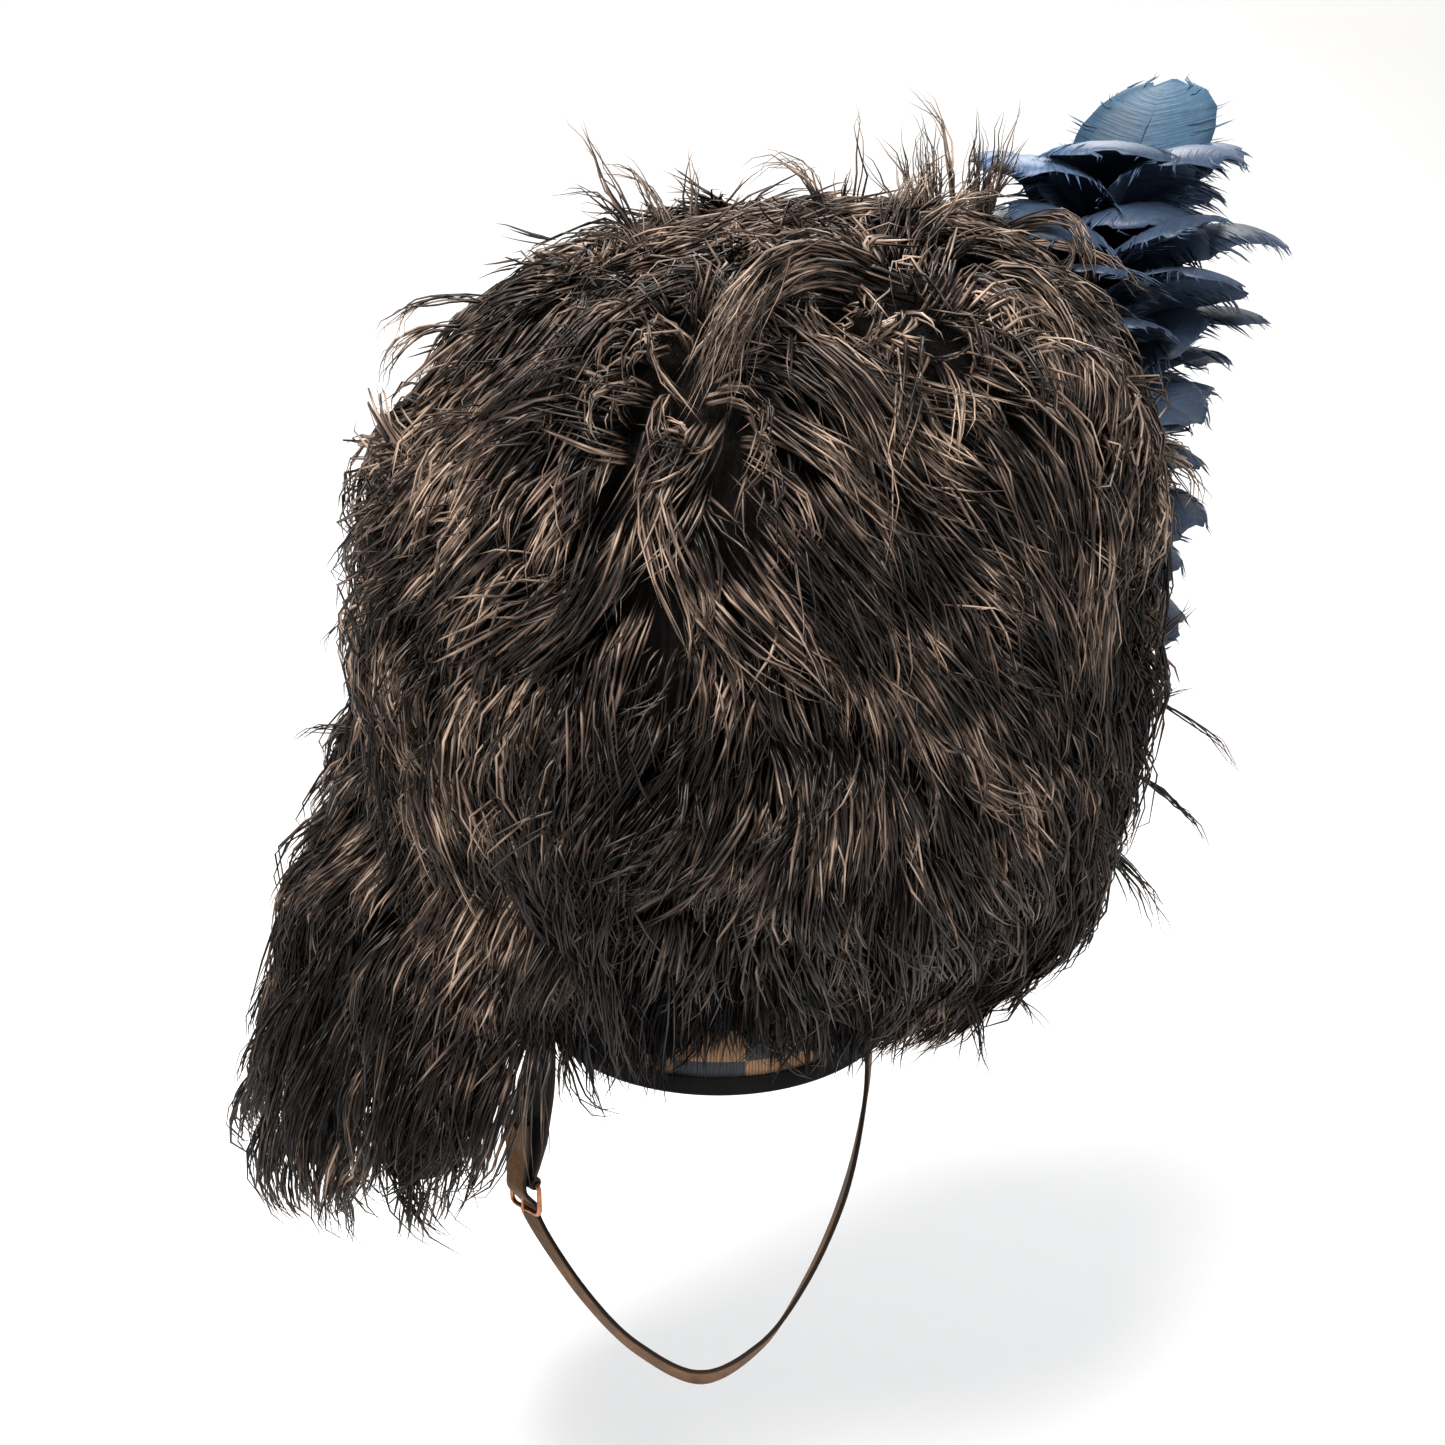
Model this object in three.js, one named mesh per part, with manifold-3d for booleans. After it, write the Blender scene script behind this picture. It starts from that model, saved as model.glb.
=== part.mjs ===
// A soldier's feather bonnet: a hollow cloth-covered crown on a diced headband with a bound edge,
// covered by three tiers of black ostrich plumes, with four hanging tails on the wearer's right,
// a blue hackle on the wearer's left, and a leather chin strap with a buckle.
// Millimetres, +Z up, the face looks along -Y, the wearer's left is +X.
// The origin is the middle of the head opening, level with the underside of the bound edge.
import * as THREE from "three";
import { mergeVertices } from "three/addons/utils/BufferGeometryUtils.js";
import Module from "manifold-3d";

const wasm = await Module();
wasm.setup();

// Head opening, crown and band
const openingWidth = 165;
const openingDepth = 201;
const crownWall = 2.4;
const crownHeight = 322;
const crownSwell = 20;
const crownLean = 24;
const bandHeight = 44;
const bandWall = 1.6;
const bindingHeight = 9.5;
const bindingWall = 1.3;
const fitGap = 0.4;

// Plumes
const plumeHeight = 374;
const plumeLeft = 98;
const plumeRight = 104;
const plumeFront = 62;
const plumeBack = 70;
const tierGap = 2.8;
const hemFront = 15;
const hemSide = 1;
const lockWidth = 84;
const lockDepth = 20;
const locksPerTier = 10;
const coreShare = 0.94;
const tuftLength = 36;
const tuftWidth = 7;

// Tails
const tailTop = 104;
const tailBottom = -88;
const tailWidth = 66;
const tailThickness = 52;
const tailLocks = 6;
const tailRow = [
  { angle: 229, shorter: 34, size: 1.0 },
  { angle: 202, shorter: 0, size: 1.0 },
  { angle: 178, shorter: 4, size: 1.0 },
  { angle: 154, shorter: 10, size: 0.94 },
];

// Hackle
const hackleHeight = 436;
const hackleAngle = 30;
const hackleLean = 94;
const hackleBack = 4;
const stemRadius = 2.2;
const socketRadius = 6;
const socketHeight = 34;
const socketFoot = 26;
const featherCount = 14;
const featherLength = 92;
const featherWidth = 80;
const featherThickness = 13;
const hackleRadius = 80;
const featherRise = 42;
const hackleInner = 0.6;
const hackleSide = 0.85;

// Chin strap and buckle
const strapWidth = 13;
const strapThickness = 2.2;
const chapeWidth = 27;
const chapeThickness = 2.2;
const chapeAngle = 206;
const buckleWidth = 22;
const buckleHeight = 19;
const buckleBar = 2.4;
const buckleX = -92;
const buckleY = -52;
const buckleZ = -82;
const buckleHeading = -46;
const prongWidth = 2;
const freeEnd = 34;
const notch = 5;

const sides = 22;

// Where the bound edge and the band leave room for the crown
const edgeLift = bindingWall + fitGap;
const rimX = openingWidth / 2 + crownWall;
const rimY = openingDepth / 2 + crownWall;
const bandOut = fitGap + bandWall;
const bindingOut = bandOut + fitGap + bindingWall;

// The crown's sections: height and lean are shares, swell of crownSwell, round of the section's own size
const crownSections = [
  { height: 0.0, swell: 0.0, round: 1.0, lean: 0.0 },
  { height: 0.16, swell: 0.05, round: 1.0, lean: 0.04 },
  { height: 0.34, swell: 0.6, round: 1.0, lean: 0.22 },
  { height: 0.62, swell: 1.0, round: 1.0, lean: 0.56 },
  { height: 0.82, swell: 1.0, round: 0.93, lean: 0.8 },
  { height: 0.95, swell: 1.0, round: 0.62, lean: 0.95 },
  { height: 1.0, swell: 1.0, round: 0.12, lean: 1.0 },
];

// The plumes' outline: how far each side stands past the rim, as a share of its own plume depth
const plumeSections = [
  { height: 0.0, left: 0.5, right: 0.3, front: 0.14, back: 0.4, round: 1.0, lean: 0.0 },
  { height: 0.08, left: 0.86, right: 0.66, front: 0.24, back: 0.66, round: 1.0, lean: 0.02 },
  { height: 0.2, left: 1.0, right: 0.97, front: 0.62, back: 0.92, round: 1.0, lean: 0.1 },
  { height: 0.36, left: 0.92, right: 1.0, front: 0.92, back: 1.0, round: 1.0, lean: 0.26 },
  { height: 0.55, left: 0.84, right: 0.88, front: 1.0, back: 0.96, round: 1.0, lean: 0.5 },
  { height: 0.76, left: 0.86, right: 0.92, front: 1.0, back: 0.95, round: 0.96, lean: 0.76 },
  { height: 0.89, left: 0.86, right: 0.92, front: 1.0, back: 0.95, round: 0.82, lean: 0.89 },
  { height: 0.97, left: 0.86, right: 0.92, front: 1.0, back: 0.95, round: 0.52, lean: 0.97 },
  { height: 1.0, left: 0.86, right: 0.92, front: 1.0, back: 0.95, round: 0.14, lean: 1.0 },
];

// Where one tier parts from the next: out runs from the crown at 0 to the outline at 1, height is a share
const upperParting = [
  { out: 1.5, height: 0.5 },
  { out: 0.96, height: 0.5 },
  { out: 0.72, height: 0.64 },
  { out: -0.2, height: 0.66 },
];
const lowerParting = [
  { out: 1.5, height: 0.17 },
  { out: 0.96, height: 0.17 },
  { out: 0.72, height: 0.33 },
  { out: -0.2, height: 0.36 },
];

// A lock from root to tip: widths and depths are shares, seat is where its middle lies inside the outline
const lockSections = [
  { along: 0.0, width: 0.45, depth: 0.7, seat: 0.86 },
  { along: 0.3, width: 1.0, depth: 1.0, seat: 0.94 },
  { along: 0.72, width: 0.85, depth: 0.85, seat: 0.965 },
  { along: 1.0, width: 0.1, depth: 0.14, seat: 1.0 },
];

// Stray tufts that stand up from the top: place on the outline and the way each leans
const tufts = [
  { angle: 200, height: 0.95, side: -0.55, back: 0.1, length: 0.9 },
  { angle: 170, height: 0.97, side: -0.2, back: 0.2, length: 0.55 },
  { angle: 280, height: 0.985, side: 0.15, back: -0.2, length: 0.6 },
  { angle: 20, height: 0.985, side: -0.15, back: 0.1, length: 0.8 },
  { angle: 350, height: 0.96, side: 0.35, back: -0.1, length: 1.0 },
  { angle: 30, height: 0.95, side: 0.5, back: 0.2, length: 0.85 },
];

// A tail from root to tip: out is its middle against the outline, size a share of its width and thickness
const tailSections = [
  { drop: 0.0, out: 0.88, size: 0.42 },
  { drop: 0.25, out: 1.0, size: 0.86 },
  { drop: 0.65, out: 1.14, size: 1.0 },
  { drop: 0.9, out: 1.19, size: 0.9 },
  { drop: 1.0, out: 1.19, size: 0.5 },
];

// A hackle feather from quill to tip
const featherSections = [
  { along: 0.0, width: 0.14, spread: 0.0, rise: 0.0 },
  { along: 0.35, width: 0.85, spread: 0.26, rise: 0.8 },
  { along: 0.75, width: 1.0, spread: 0.72, rise: 1.1 },
  { along: 1.0, width: 0.72, spread: 1.0, rise: 0.9 },
];

// The hackle's fluffy middle: up is a share of its stem, out a share of the feathers' reach
const hackleCoreSections = [
  { up: 0.36, out: 0.08 },
  { up: 0.56, out: 0.4 },
  { up: 0.8, out: 0.52 },
  { up: 1.0, out: 0.56 },
  { up: 1.1, out: 0.42 },
  { up: 1.16, out: 0.16 },
];

// The chin strap's route from the wearer's left temple, under the chin, up to the buckle.
// heading and tilt give the way its width points, in degrees from straight back and from level.
const strapRoute = [
  { x: 71.5, y: -34, z: 18, heading: 13, tilt: 0, width: 1 },
  { x: 71.5, y: -34, z: -8, heading: 13, tilt: 0, width: 1 },
  { x: 70.5, y: -37, z: -36, heading: 8, tilt: -4, width: 1 },
  { x: 61, y: -46, z: -84, heading: 0, tilt: -10, width: 1 },
  { x: 42, y: -57, z: -128, heading: 0, tilt: -24, width: 1 },
  { x: 20, y: -66, z: -158, heading: 0, tilt: -46, width: 1 },
  { x: -8, y: -70, z: -173, heading: 0, tilt: -60, width: 1 },
  { x: -38, y: -66, z: -160, heading: -14, tilt: -52, width: 1 },
  { x: -64, y: -60, z: -134, heading: -30, tilt: -34, width: 1 },
];

// Repeatable scatter between 0 and 1 for the locks
const scatter = (index, salt) => {
  const wave = Math.sin(index * 12.9898 + salt * 78.233) * 43758.5453;
  return wave - Math.floor(wave);
};

// A row of a table of sections at any value of its key column, by straight lines between rows
function rowAt(table, key, value) {
  const rising = table[table.length - 1][key] > table[0][key];
  const rows = rising ? table : [...table].reverse();
  let next = rows.findIndex((row) => row[key] >= value);
  if (next < 0) next = rows.length - 1;
  if (next === 0) next = 1;
  const low = rows[next - 1];
  const high = rows[next];
  const share = THREE.MathUtils.clamp((value - low[key]) / (high[key] - low[key]), 0, 1);
  return Object.fromEntries(
    Object.keys(low).map((column) => [column, THREE.MathUtils.lerp(low[column], high[column], share)]),
  );
}

// A ring of points round an upright axis
function ring(centreX, centreY, halfX, halfY, heightAt, corners = sides) {
  return Array.from({ length: corners }, (_, index) => {
    const angle = (index / corners) * 2 * Math.PI;
    return new THREE.Vector3(
      centreX + halfX * Math.cos(angle),
      centreY + halfY * Math.sin(angle),
      heightAt(angle),
    );
  });
}

// The crown's outer face at a height, moved out by offset
function crownSize(z) {
  const row = rowAt(crownSections, "height", (z - edgeLift) / (crownHeight - edgeLift));
  return {
    x: (rimX + crownSwell * row.swell) * row.round,
    y: (rimY + crownSwell * row.swell) * row.round,
    lean: crownLean * row.lean,
  };
}
function crownRing(z, offset) {
  const size = crownSize(z);
  return ring(size.lean, 0, size.x + offset, size.y + offset, () => z);
}
const crownRowHeights = crownSections.map((row) => edgeLift + row.height * (crownHeight - edgeLift));

// The plumes' outline at a height and an angle in radians, pulled in towards the axis by share
function plumeSize(z) {
  const row = rowAt(plumeSections, "height", z / plumeHeight);
  const left = (rimX + plumeLeft * row.left) * row.round;
  const right = (rimX + plumeRight * row.right) * row.round;
  const front = (rimY + plumeFront * row.front) * row.round;
  const back = (rimY + plumeBack * row.back) * row.round;
  return {
    centreX: crownLean * row.lean + (right - left) / 2,
    centreY: (back - front) / 2,
    x: (left + right) / 2,
    y: (front + back) / 2,
  };
}
function plumePoint(angle, z, share = 1) {
  const size = plumeSize(z);
  return new THREE.Vector3(
    size.centreX + size.x * share * Math.cos(angle),
    size.centreY + size.y * share * Math.sin(angle),
    z,
  );
}

// The hem of the lowest plumes is higher over the brow, where the band shows
function hemHeight(angle) {
  const towardsFront = Math.max(0, -Math.sin(angle));
  return hemSide + (hemFront - hemSide) * towardsFront ** 2;
}

// A closed body through rings of equal count, capped by a fan at each end
function loft(rings) {
  const count = rings[0].length;
  const points = rings.flat();
  const faces = [];
  for (let level = 0; level + 1 < rings.length; level += 1)
    for (let index = 0; index < count; index += 1) {
      const next = (index + 1) % count;
      const a = level * count + index;
      const b = level * count + next;
      faces.push(a, b, b + count, a, b + count, a + count);
    }
  const middle = (points_) =>
    points_.reduce((sum, point) => sum.add(point), new THREE.Vector3()).divideScalar(points_.length);
  const bottom = points.push(middle(rings[0])) - 1;
  const top = points.push(middle(rings[rings.length - 1])) - 1;
  const last = (rings.length - 1) * count;
  for (let index = 0; index < count; index += 1) {
    const next = (index + 1) % count;
    faces.push(bottom, next, index);
    faces.push(top, last + index, last + next);
  }
  const geometry = new THREE.BufferGeometry().setFromPoints(points);
  geometry.setIndex(faces);
  return geometry;
}

// three.js geometry to a solid that can be joined and cut, and back
function solid(geometry) {
  const bare = geometry.clone();
  bare.deleteAttribute("normal");
  bare.deleteAttribute("uv");
  const merged = mergeVertices(bare, 1e-4);
  const mesh = new wasm.Mesh({
    numProp: 3,
    vertProperties: new Float32Array(merged.attributes.position.array),
    triVerts: new Uint32Array(merged.index.array),
  });
  const made = new wasm.Manifold(mesh);
  if (made.volume() > 0) return made;
  for (let index = 0; index < mesh.triVerts.length; index += 3)
    [mesh.triVerts[index + 1], mesh.triVerts[index + 2]] = [mesh.triVerts[index + 2], mesh.triVerts[index + 1]];
  return new wasm.Manifold(mesh);
}
const joined = (solids) => wasm.Manifold.union(solids);
// The main body of a solid, with the bubbles and crumbs between its locks left out
const mainBody = (made) =>
  made.decompose().reduce((largest, body) => (body.volume() > largest.volume() ? body : largest));
function geometryOf(made) {
  const mesh = made.getMesh();
  const geometry = new THREE.BufferGeometry();
  geometry.setAttribute("position", new THREE.BufferAttribute(mesh.vertProperties, 3));
  geometry.setIndex(new THREE.BufferAttribute(mesh.triVerts, 1));
  return geometry;
}

// Everything inside the crown's outer face, moved out by offset, between two heights
function crownPlug(offset, bottom, top, lift = 0) {
  const rows = crownRowHeights.filter((z) => z > bottom && z < top);
  const plug = solid(loft([bottom, ...rows, top].map((z) => crownRing(z, offset))));
  return plug.translate([0, 0, lift]);
}

function makeCrown() {
  const outside = crownPlug(0, edgeLift, crownHeight);
  const hollowTop = (crownHeight - crownWall) / crownHeight;
  const levels = [0, ...crownRowHeights.slice(1)];
  const hollow = loft(levels.map((z) => {
    const size = crownSize(z);
    return ring(size.lean, 0, size.x - crownWall, size.y - crownWall, () => z * hollowTop);
  }));
  return outside.subtract(solid(hollow));
}

function makeHeadband() {
  const outside = crownPlug(bandOut, edgeLift, bandHeight);
  return outside.subtract(crownPlug(fitGap, 0, bandHeight + fitGap));
}

function makeEdgeBinding() {
  const whole = crownPlug(bindingOut, 0, bindingHeight);
  const opening = crownPlug(-(crownWall + fitGap + bindingWall), -edgeLift, bindingHeight + fitGap);
  const channelOut = crownPlug(bandOut + fitGap, bindingWall, bindingHeight + fitGap);
  const channelIn = crownPlug(-(crownWall + fitGap), 0, bindingHeight + edgeLift);
  return whole.subtract(opening).subtract(channelOut.subtract(channelIn));
}

// What the plumes keep clear of: the crown, and the band and binding round its foot
function crownClearance() {
  const foot = crownPlug(bindingOut + fitGap, -bandHeight, bandHeight + fitGap);
  const rest = crownPlug(2 * fitGap, -bandHeight, crownHeight, 2 * fitGap);
  return joined([foot, rest]);
}

// Everything below a parting between two tiers, raised by lift
function belowParting(parting, lift) {
  const rings = parting.map(({ out, height }) => {
    const z = height * plumeHeight + lift;
    const crown = crownSize(z);
    const plume = plumeSize(z);
    const mix = (inner, outer) => inner + (outer - inner) * out;
    return ring(
      mix(crown.lean, plume.centreX),
      mix(0, plume.centreY),
      mix(crown.x, plume.x),
      mix(crown.y, plume.y),
      () => z,
    );
  });
  const floor = rings[0].map((point) => new THREE.Vector3(point.x, point.y, 2 * tailBottom));
  return solid(loft([floor, ...rings]));
}

// A diamond section across a path: wide along the outline, deep across it
function diamond(centre, tangent, outward, width, depth) {
  const across = new THREE.Vector3().crossVectors(tangent, outward).normalize();
  const away = new THREE.Vector3().crossVectors(across, tangent).normalize();
  return [
    centre.clone().addScaledVector(across, width / 2),
    centre.clone().addScaledVector(away, depth / 2),
    centre.clone().addScaledVector(across, -width / 2),
    centre.clone().addScaledVector(away, -depth / 2),
  ];
}

// A pointed body along a list of centres, with the sections' widths and depths
function pointedStrip(centres, outwardAt, widths, depths) {
  const rings = centres.map((centre, index) => {
    const before = centres[Math.max(0, index - 1)];
    const after = centres[Math.min(centres.length - 1, index + 1)];
    const tangent = new THREE.Vector3().subVectors(after, before).normalize();
    return diamond(centre, tangent, outwardAt(centre, index), widths[index], depths[index]);
  });
  return solid(loft(rings));
}

// One lock of plume on the outline, from its root down to its tip
function makeLock({ angle, top, bottom, swirl, width, arch }) {
  const centres = lockSections.map(({ along, seat }) => {
    const z = top + (bottom - top) * along ** arch;
    return plumePoint(angle + swirl * along, z, seat);
  });
  const axisAt = (z) => plumePoint(angle, z, 0);
  return pointedStrip(
    centres,
    (centre) => centre.clone().sub(axisAt(Math.min(centre.z, top) - width)).normalize(),
    lockSections.map((section) => width * section.width),
    lockSections.map((section) => lockDepth * section.depth),
  );
}

// A ring of locks whose roots, tips, widths and swirl vary a little from lock to lock
function lockRing({ salt, top, bottomAt, swirl, arch }) {
  return Array.from({ length: locksPerTier }, (_, index) => {
    const angle = ((index + 0.6 * scatter(index, salt)) / locksPerTier) * 2 * Math.PI;
    return makeLock({
      angle,
      top: top - lockDepth * scatter(index, salt + 1),
      bottom: bottomAt(angle, scatter(index, salt + 2)),
      swirl: swirl * (scatter(index, salt + 3) - 0.5),
      width: lockWidth * (0.8 + 0.4 * scatter(index, salt + 4)),
      arch,
    });
  });
}

// The full body of the plumes under the locks, between two heights
function plumeCore(bottomAt, top) {
  const rows = plumeSections.map((row) => row.height * plumeHeight).filter((z) => z > hemFront && z < top);
  const rings = [...rows, top].map((z) => {
    const size = plumeSize(z);
    return ring(size.centreX, size.centreY, size.x * coreShare, size.y * coreShare, () => z);
  });
  const size = plumeSize(0);
  const hem = ring(size.centreX, size.centreY, size.x * coreShare, size.y * coreShare, bottomAt);
  return solid(loft([hem, ...rings]));
}

// A thin straight tuft that stands out from the top of the outline
function makeTuft({ angle, height, side, back, length }) {
  const foot = plumePoint(THREE.MathUtils.degToRad(angle), height * plumeHeight, coreShare);
  const way = new THREE.Vector3(side, back, 1).normalize();
  const bend = new THREE.Vector3(side, 0, 0).multiplyScalar(tuftLength * length);
  const centres = [-0.4, 0.3, 0.7, 1].map((along) =>
    foot.clone().addScaledVector(way, tuftLength * length * along).addScaledVector(bend, along ** 2 * 0.4));
  return pointedStrip(
    centres,
    () => new THREE.Vector3(0, -1, 0),
    [1, 1, 0.6, 0.12].map((share) => tuftWidth * share),
    [1, 0.8, 0.5, 0.12].map((share) => tuftWidth * share),
  );
}

// A tail's middle line, and the tail itself: a soft core with pointed locks laid round it
function tailCentre(angle, drop, out, bottom) {
  const z = tailTop + (bottom - tailTop) * drop;
  return plumePoint(angle, Math.max(z, hemSide + tailThickness), out).setZ(z);
}
function tailCore(index, room = 0) {
  const angle = THREE.MathUtils.degToRad(tailRow[index].angle);
  const bottom = tailBottom + tailRow[index].shorter;
  const outward = new THREE.Vector3(Math.cos(angle), Math.sin(angle), 0);
  const across = new THREE.Vector3(-outward.y, outward.x, 0);
  const corners = 8;
  const rings = [...tailSections].reverse().map(({ drop, out, size }) => {
    const extra = drop < 0.5 ? Math.min(room, 1.5 * fitGap) : room;
    const centre = tailCentre(angle, drop, out, bottom);
    return Array.from({ length: corners }, (_, corner) => {
      const turn = (corner / corners) * 2 * Math.PI;
      const full = size * tailRow[index].size;
      return centre.clone()
        .addScaledVector(outward, Math.cos(turn) * (tailThickness / 2 * full + extra))
        .addScaledVector(across, Math.sin(turn) * (tailWidth / 2 * full + extra));
    });
  });
  rings[0].forEach((point) => { point.z -= room; });
  rings[rings.length - 1].forEach((point) => { point.z += Math.min(room, 1.5 * fitGap); });
  return solid(loft(rings));
}
function makeTail(index) {
  const angle = THREE.MathUtils.degToRad(tailRow[index].angle);
  const bottom = tailBottom + tailRow[index].shorter;
  const outward = new THREE.Vector3(Math.cos(angle), Math.sin(angle), 0);
  const across = new THREE.Vector3(-outward.y, outward.x, 0);
  const fullness = 0.8 * tailRow[index].size;
  const locks = Array.from({ length: tailLocks }, (_, lock) => {
    const turn = (lock / tailLocks) * 2 * Math.PI + scatter(lock, index);
    const start = 0.5 + 0.14 * scatter(lock, index + 7);
    const spread = outward.clone().multiplyScalar(Math.cos(turn) * tailThickness / 2)
      .addScaledVector(across, Math.sin(turn) * tailWidth / 2);
    const centres = [0, 0.35, 0.7, 1].map((along) => {
      const drop = start + (1 - start) * along;
      const row = rowAt(tailSections, "drop", drop);
      const hang = -tuftWidth * 2 * scatter(lock, index + 11) * along;
      return tailCentre(angle, drop, row.out, bottom)
        .addScaledVector(spread, row.size * fullness * (1 - 0.12 * along))
        .add(new THREE.Vector3(0, 0, hang));
    });
    return pointedStrip(
      centres,
      () => spread.clone().normalize(),
      [0.6, 1, 0.7, 0.1].map((share) => tailWidth * 0.36 * share),
      [0.6, 1, 0.7, 0.1].map((share) => tailThickness * 0.26 * share),
    );
  });
  return mainBody(joined([tailCore(index), ...locks]));
}

// Each tail keeps clear of the plumes and of the tails before it
function makeTails() {
  const solids = tailRow.map((_, index) => makeTail(index));
  return solids.map((tail, index) => {
    const before = tailRow.slice(0, index).map((_, earlier) => tailCore(earlier, lockDepth * 0.45));
    return mainBody(tail.subtract(joined(before)).subtract(chapeRoom()));
  });
}

// The hackle's stem rises from a socket on the crown and leans out and back
const hackleFoot = (() => {
  const angle = THREE.MathUtils.degToRad(hackleAngle);
  const size = crownSize(socketFoot + socketHeight);
  const seat = bindingOut + fitGap + socketRadius;
  return new THREE.Vector3(
    size.lean + (size.x + seat) * Math.cos(angle),
    (size.y + seat) * Math.sin(angle),
    socketFoot,
  );
})();
function stemPoint(share) {
  const rise = hackleHeight - featherLength - socketFoot;
  return new THREE.Vector3(
    hackleFoot.x + hackleLean * share,
    hackleFoot.y - hackleBack * share,
    socketFoot + rise * share,
  );
}
function tube(pointAt, radiusAt, corners, steps) {
  const rings = Array.from({ length: steps + 1 }, (_, step) => {
    const share = step / steps;
    const centre = pointAt(share);
    return Array.from({ length: corners }, (_ignored, index) => {
      const turn = (index / corners) * 2 * Math.PI;
      return new THREE.Vector3(
        centre.x + radiusAt(share) * Math.cos(turn),
        centre.y + radiusAt(share) * Math.sin(turn),
        centre.z,
      );
    });
  });
  return solid(loft(rings));
}
function makeHackleSocket() {
  const wallTop = socketHeight / (hackleHeight - featherLength - socketFoot);
  const base = 0.01;
  const outside = tube((share) => stemPoint(share * wallTop), () => socketRadius, 16, 2);
  const bore = tube(
    (share) => stemPoint(base + share * wallTop),
    () => stemRadius + fitGap,
    12,
    2,
  );
  return outside.subtract(bore);
}
const hackleFirst = 0.4;
function hackleCore() {
  return solid(loft(hackleCoreSections.map(({ up, out }) => {
    const centre = stemPoint(up);
    const reach = hackleRadius * out;
    const inner = hackleInner * reach;
    return ring(centre.x + (reach - inner) / 2, centre.y, (reach + inner) / 2, reach * hackleSide, () => centre.z, 14);
  })));
}
function makeHackle() {
  const goldenTurn = Math.PI * (3 - Math.sqrt(5));
  const feathers = Array.from({ length: featherCount }, (_, index) => {
    const rank = index / (featherCount - 1);
    const seat = stemPoint(hackleFirst + (1 - hackleFirst) * rank);
    const turn = (featherCount - 2 - index) * goldenTurn;
    const side = new THREE.Vector3(Math.cos(turn), hackleSide * Math.sin(turn), 0);
    if (side.x < 0) side.x *= hackleInner;
    const upright = index === featherCount - 1; // the pale feather that stands up at the top
    const reach = hackleRadius * (upright ? 0.3 : 0.92 + 0.08 * scatter(index, 51));
    const height = upright ? featherLength * 0.75 : featherRise * (0.9 + 0.2 * scatter(index, 52));
    const centres = featherSections.map(({ spread, rise }) =>
      seat.clone().addScaledVector(side, reach * spread).add(new THREE.Vector3(0, 0, height * rise)));
    return pointedStrip(
      centres,
      () => side,
      featherSections.map((section) => featherWidth * (upright ? 0.66 : 0.8 + 0.2 * rank) * section.width),
      featherSections.map((section) => featherThickness * Math.min(1, 1.2 * section.width)),
    );
  });
  const stem = tube((share) => stemPoint(0.015 + 0.985 * share), () => stemRadius, 8, 6);
  const cover = joined([hackleCore(), ...feathers]).intersect(hackleRoom(-3 * fitGap)).subtract(crownClearance());
  return mainBody(joined([stem, cover]));
}
// The room that the plumes leave round the hackle, its stem and its socket, wider on the outer side
function hackleRoom(extra) {
  const top = 1.4;
  const stemRoom = socketRadius + 4 * fitGap + extra;
  const rings = Array.from({ length: 7 }, (_, step) => {
    const share = (step / 6) * top;
    const open = THREE.MathUtils.smoothstep(share, hackleFirst * 0.7, 1);
    const outer = THREE.MathUtils.smoothstep(share, 0, hackleFirst * 1.6);
    const inner = hackleInner * open ** 2;
    const reach = hackleRadius + featherWidth * 0.3 + extra;
    const centre = stemPoint(share);
    return ring(
      centre.x + (reach * (outer - inner)) / 2,
      centre.y,
      stemRoom + (reach * (outer + inner)) / 2,
      THREE.MathUtils.lerp(stemRoom, reach * hackleSide, open),
      () => centre.z - 2 * fitGap,
      sides / 2,
    );
  });
  const stem = tube((share) => stemPoint(share * top), () => stemRoom, 12, 2).translate([0, 0, -2 * fitGap]);
  return joined([solid(loft(rings)), stem]);
}

function makePlumes(tails) {
  const tailRooms = tailRow.map((_, index) => tailCore(index, lockDepth * 0.45));
  const room = joined([crownClearance(), hackleRoom(0), chapeRoom(), ...tailRooms]);
  const carve = (made) => mainBody(made.subtract(room));

  const topLocks = lockRing({
    salt: 1,
    top: 0.985 * plumeHeight,
    bottomAt: (_, chance) => (0.47 + 0.1 * chance) * plumeHeight,
    swirl: 0.5,
    arch: 1.9,
  });
  const top = joined([plumeCore(() => upperParting[0].height * plumeHeight, plumeHeight), ...topLocks, ...tufts.map(makeTuft)])
    .subtract(belowParting(upperParting, tierGap));

  const middleLocks = lockRing({
    salt: 11,
    top: 0.66 * plumeHeight,
    bottomAt: (_, chance) => (0.16 + 0.09 * chance) * plumeHeight,
    swirl: 0.3,
    arch: 1,
  });
  const middle = joined([plumeCore(() => hemSide, upperParting[3].height * plumeHeight), ...middleLocks])
    .intersect(belowParting(upperParting, 0))
    .subtract(belowParting(lowerParting, tierGap));

  const lowerLocks = lockRing({
    salt: 21,
    top: 0.34 * plumeHeight,
    bottomAt: (angle, chance) => hemHeight(angle) - 8 * chance * (1 - Math.max(0, -Math.sin(angle))),
    swirl: 0.22,
    arch: 1,
  });
  const lower = joined([plumeCore(hemHeight, lowerParting[3].height * plumeHeight), ...lowerLocks])
    .intersect(belowParting(lowerParting, 0));

  return { top: carve(top), middle: carve(middle), lower: carve(lower), tails };
}

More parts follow.
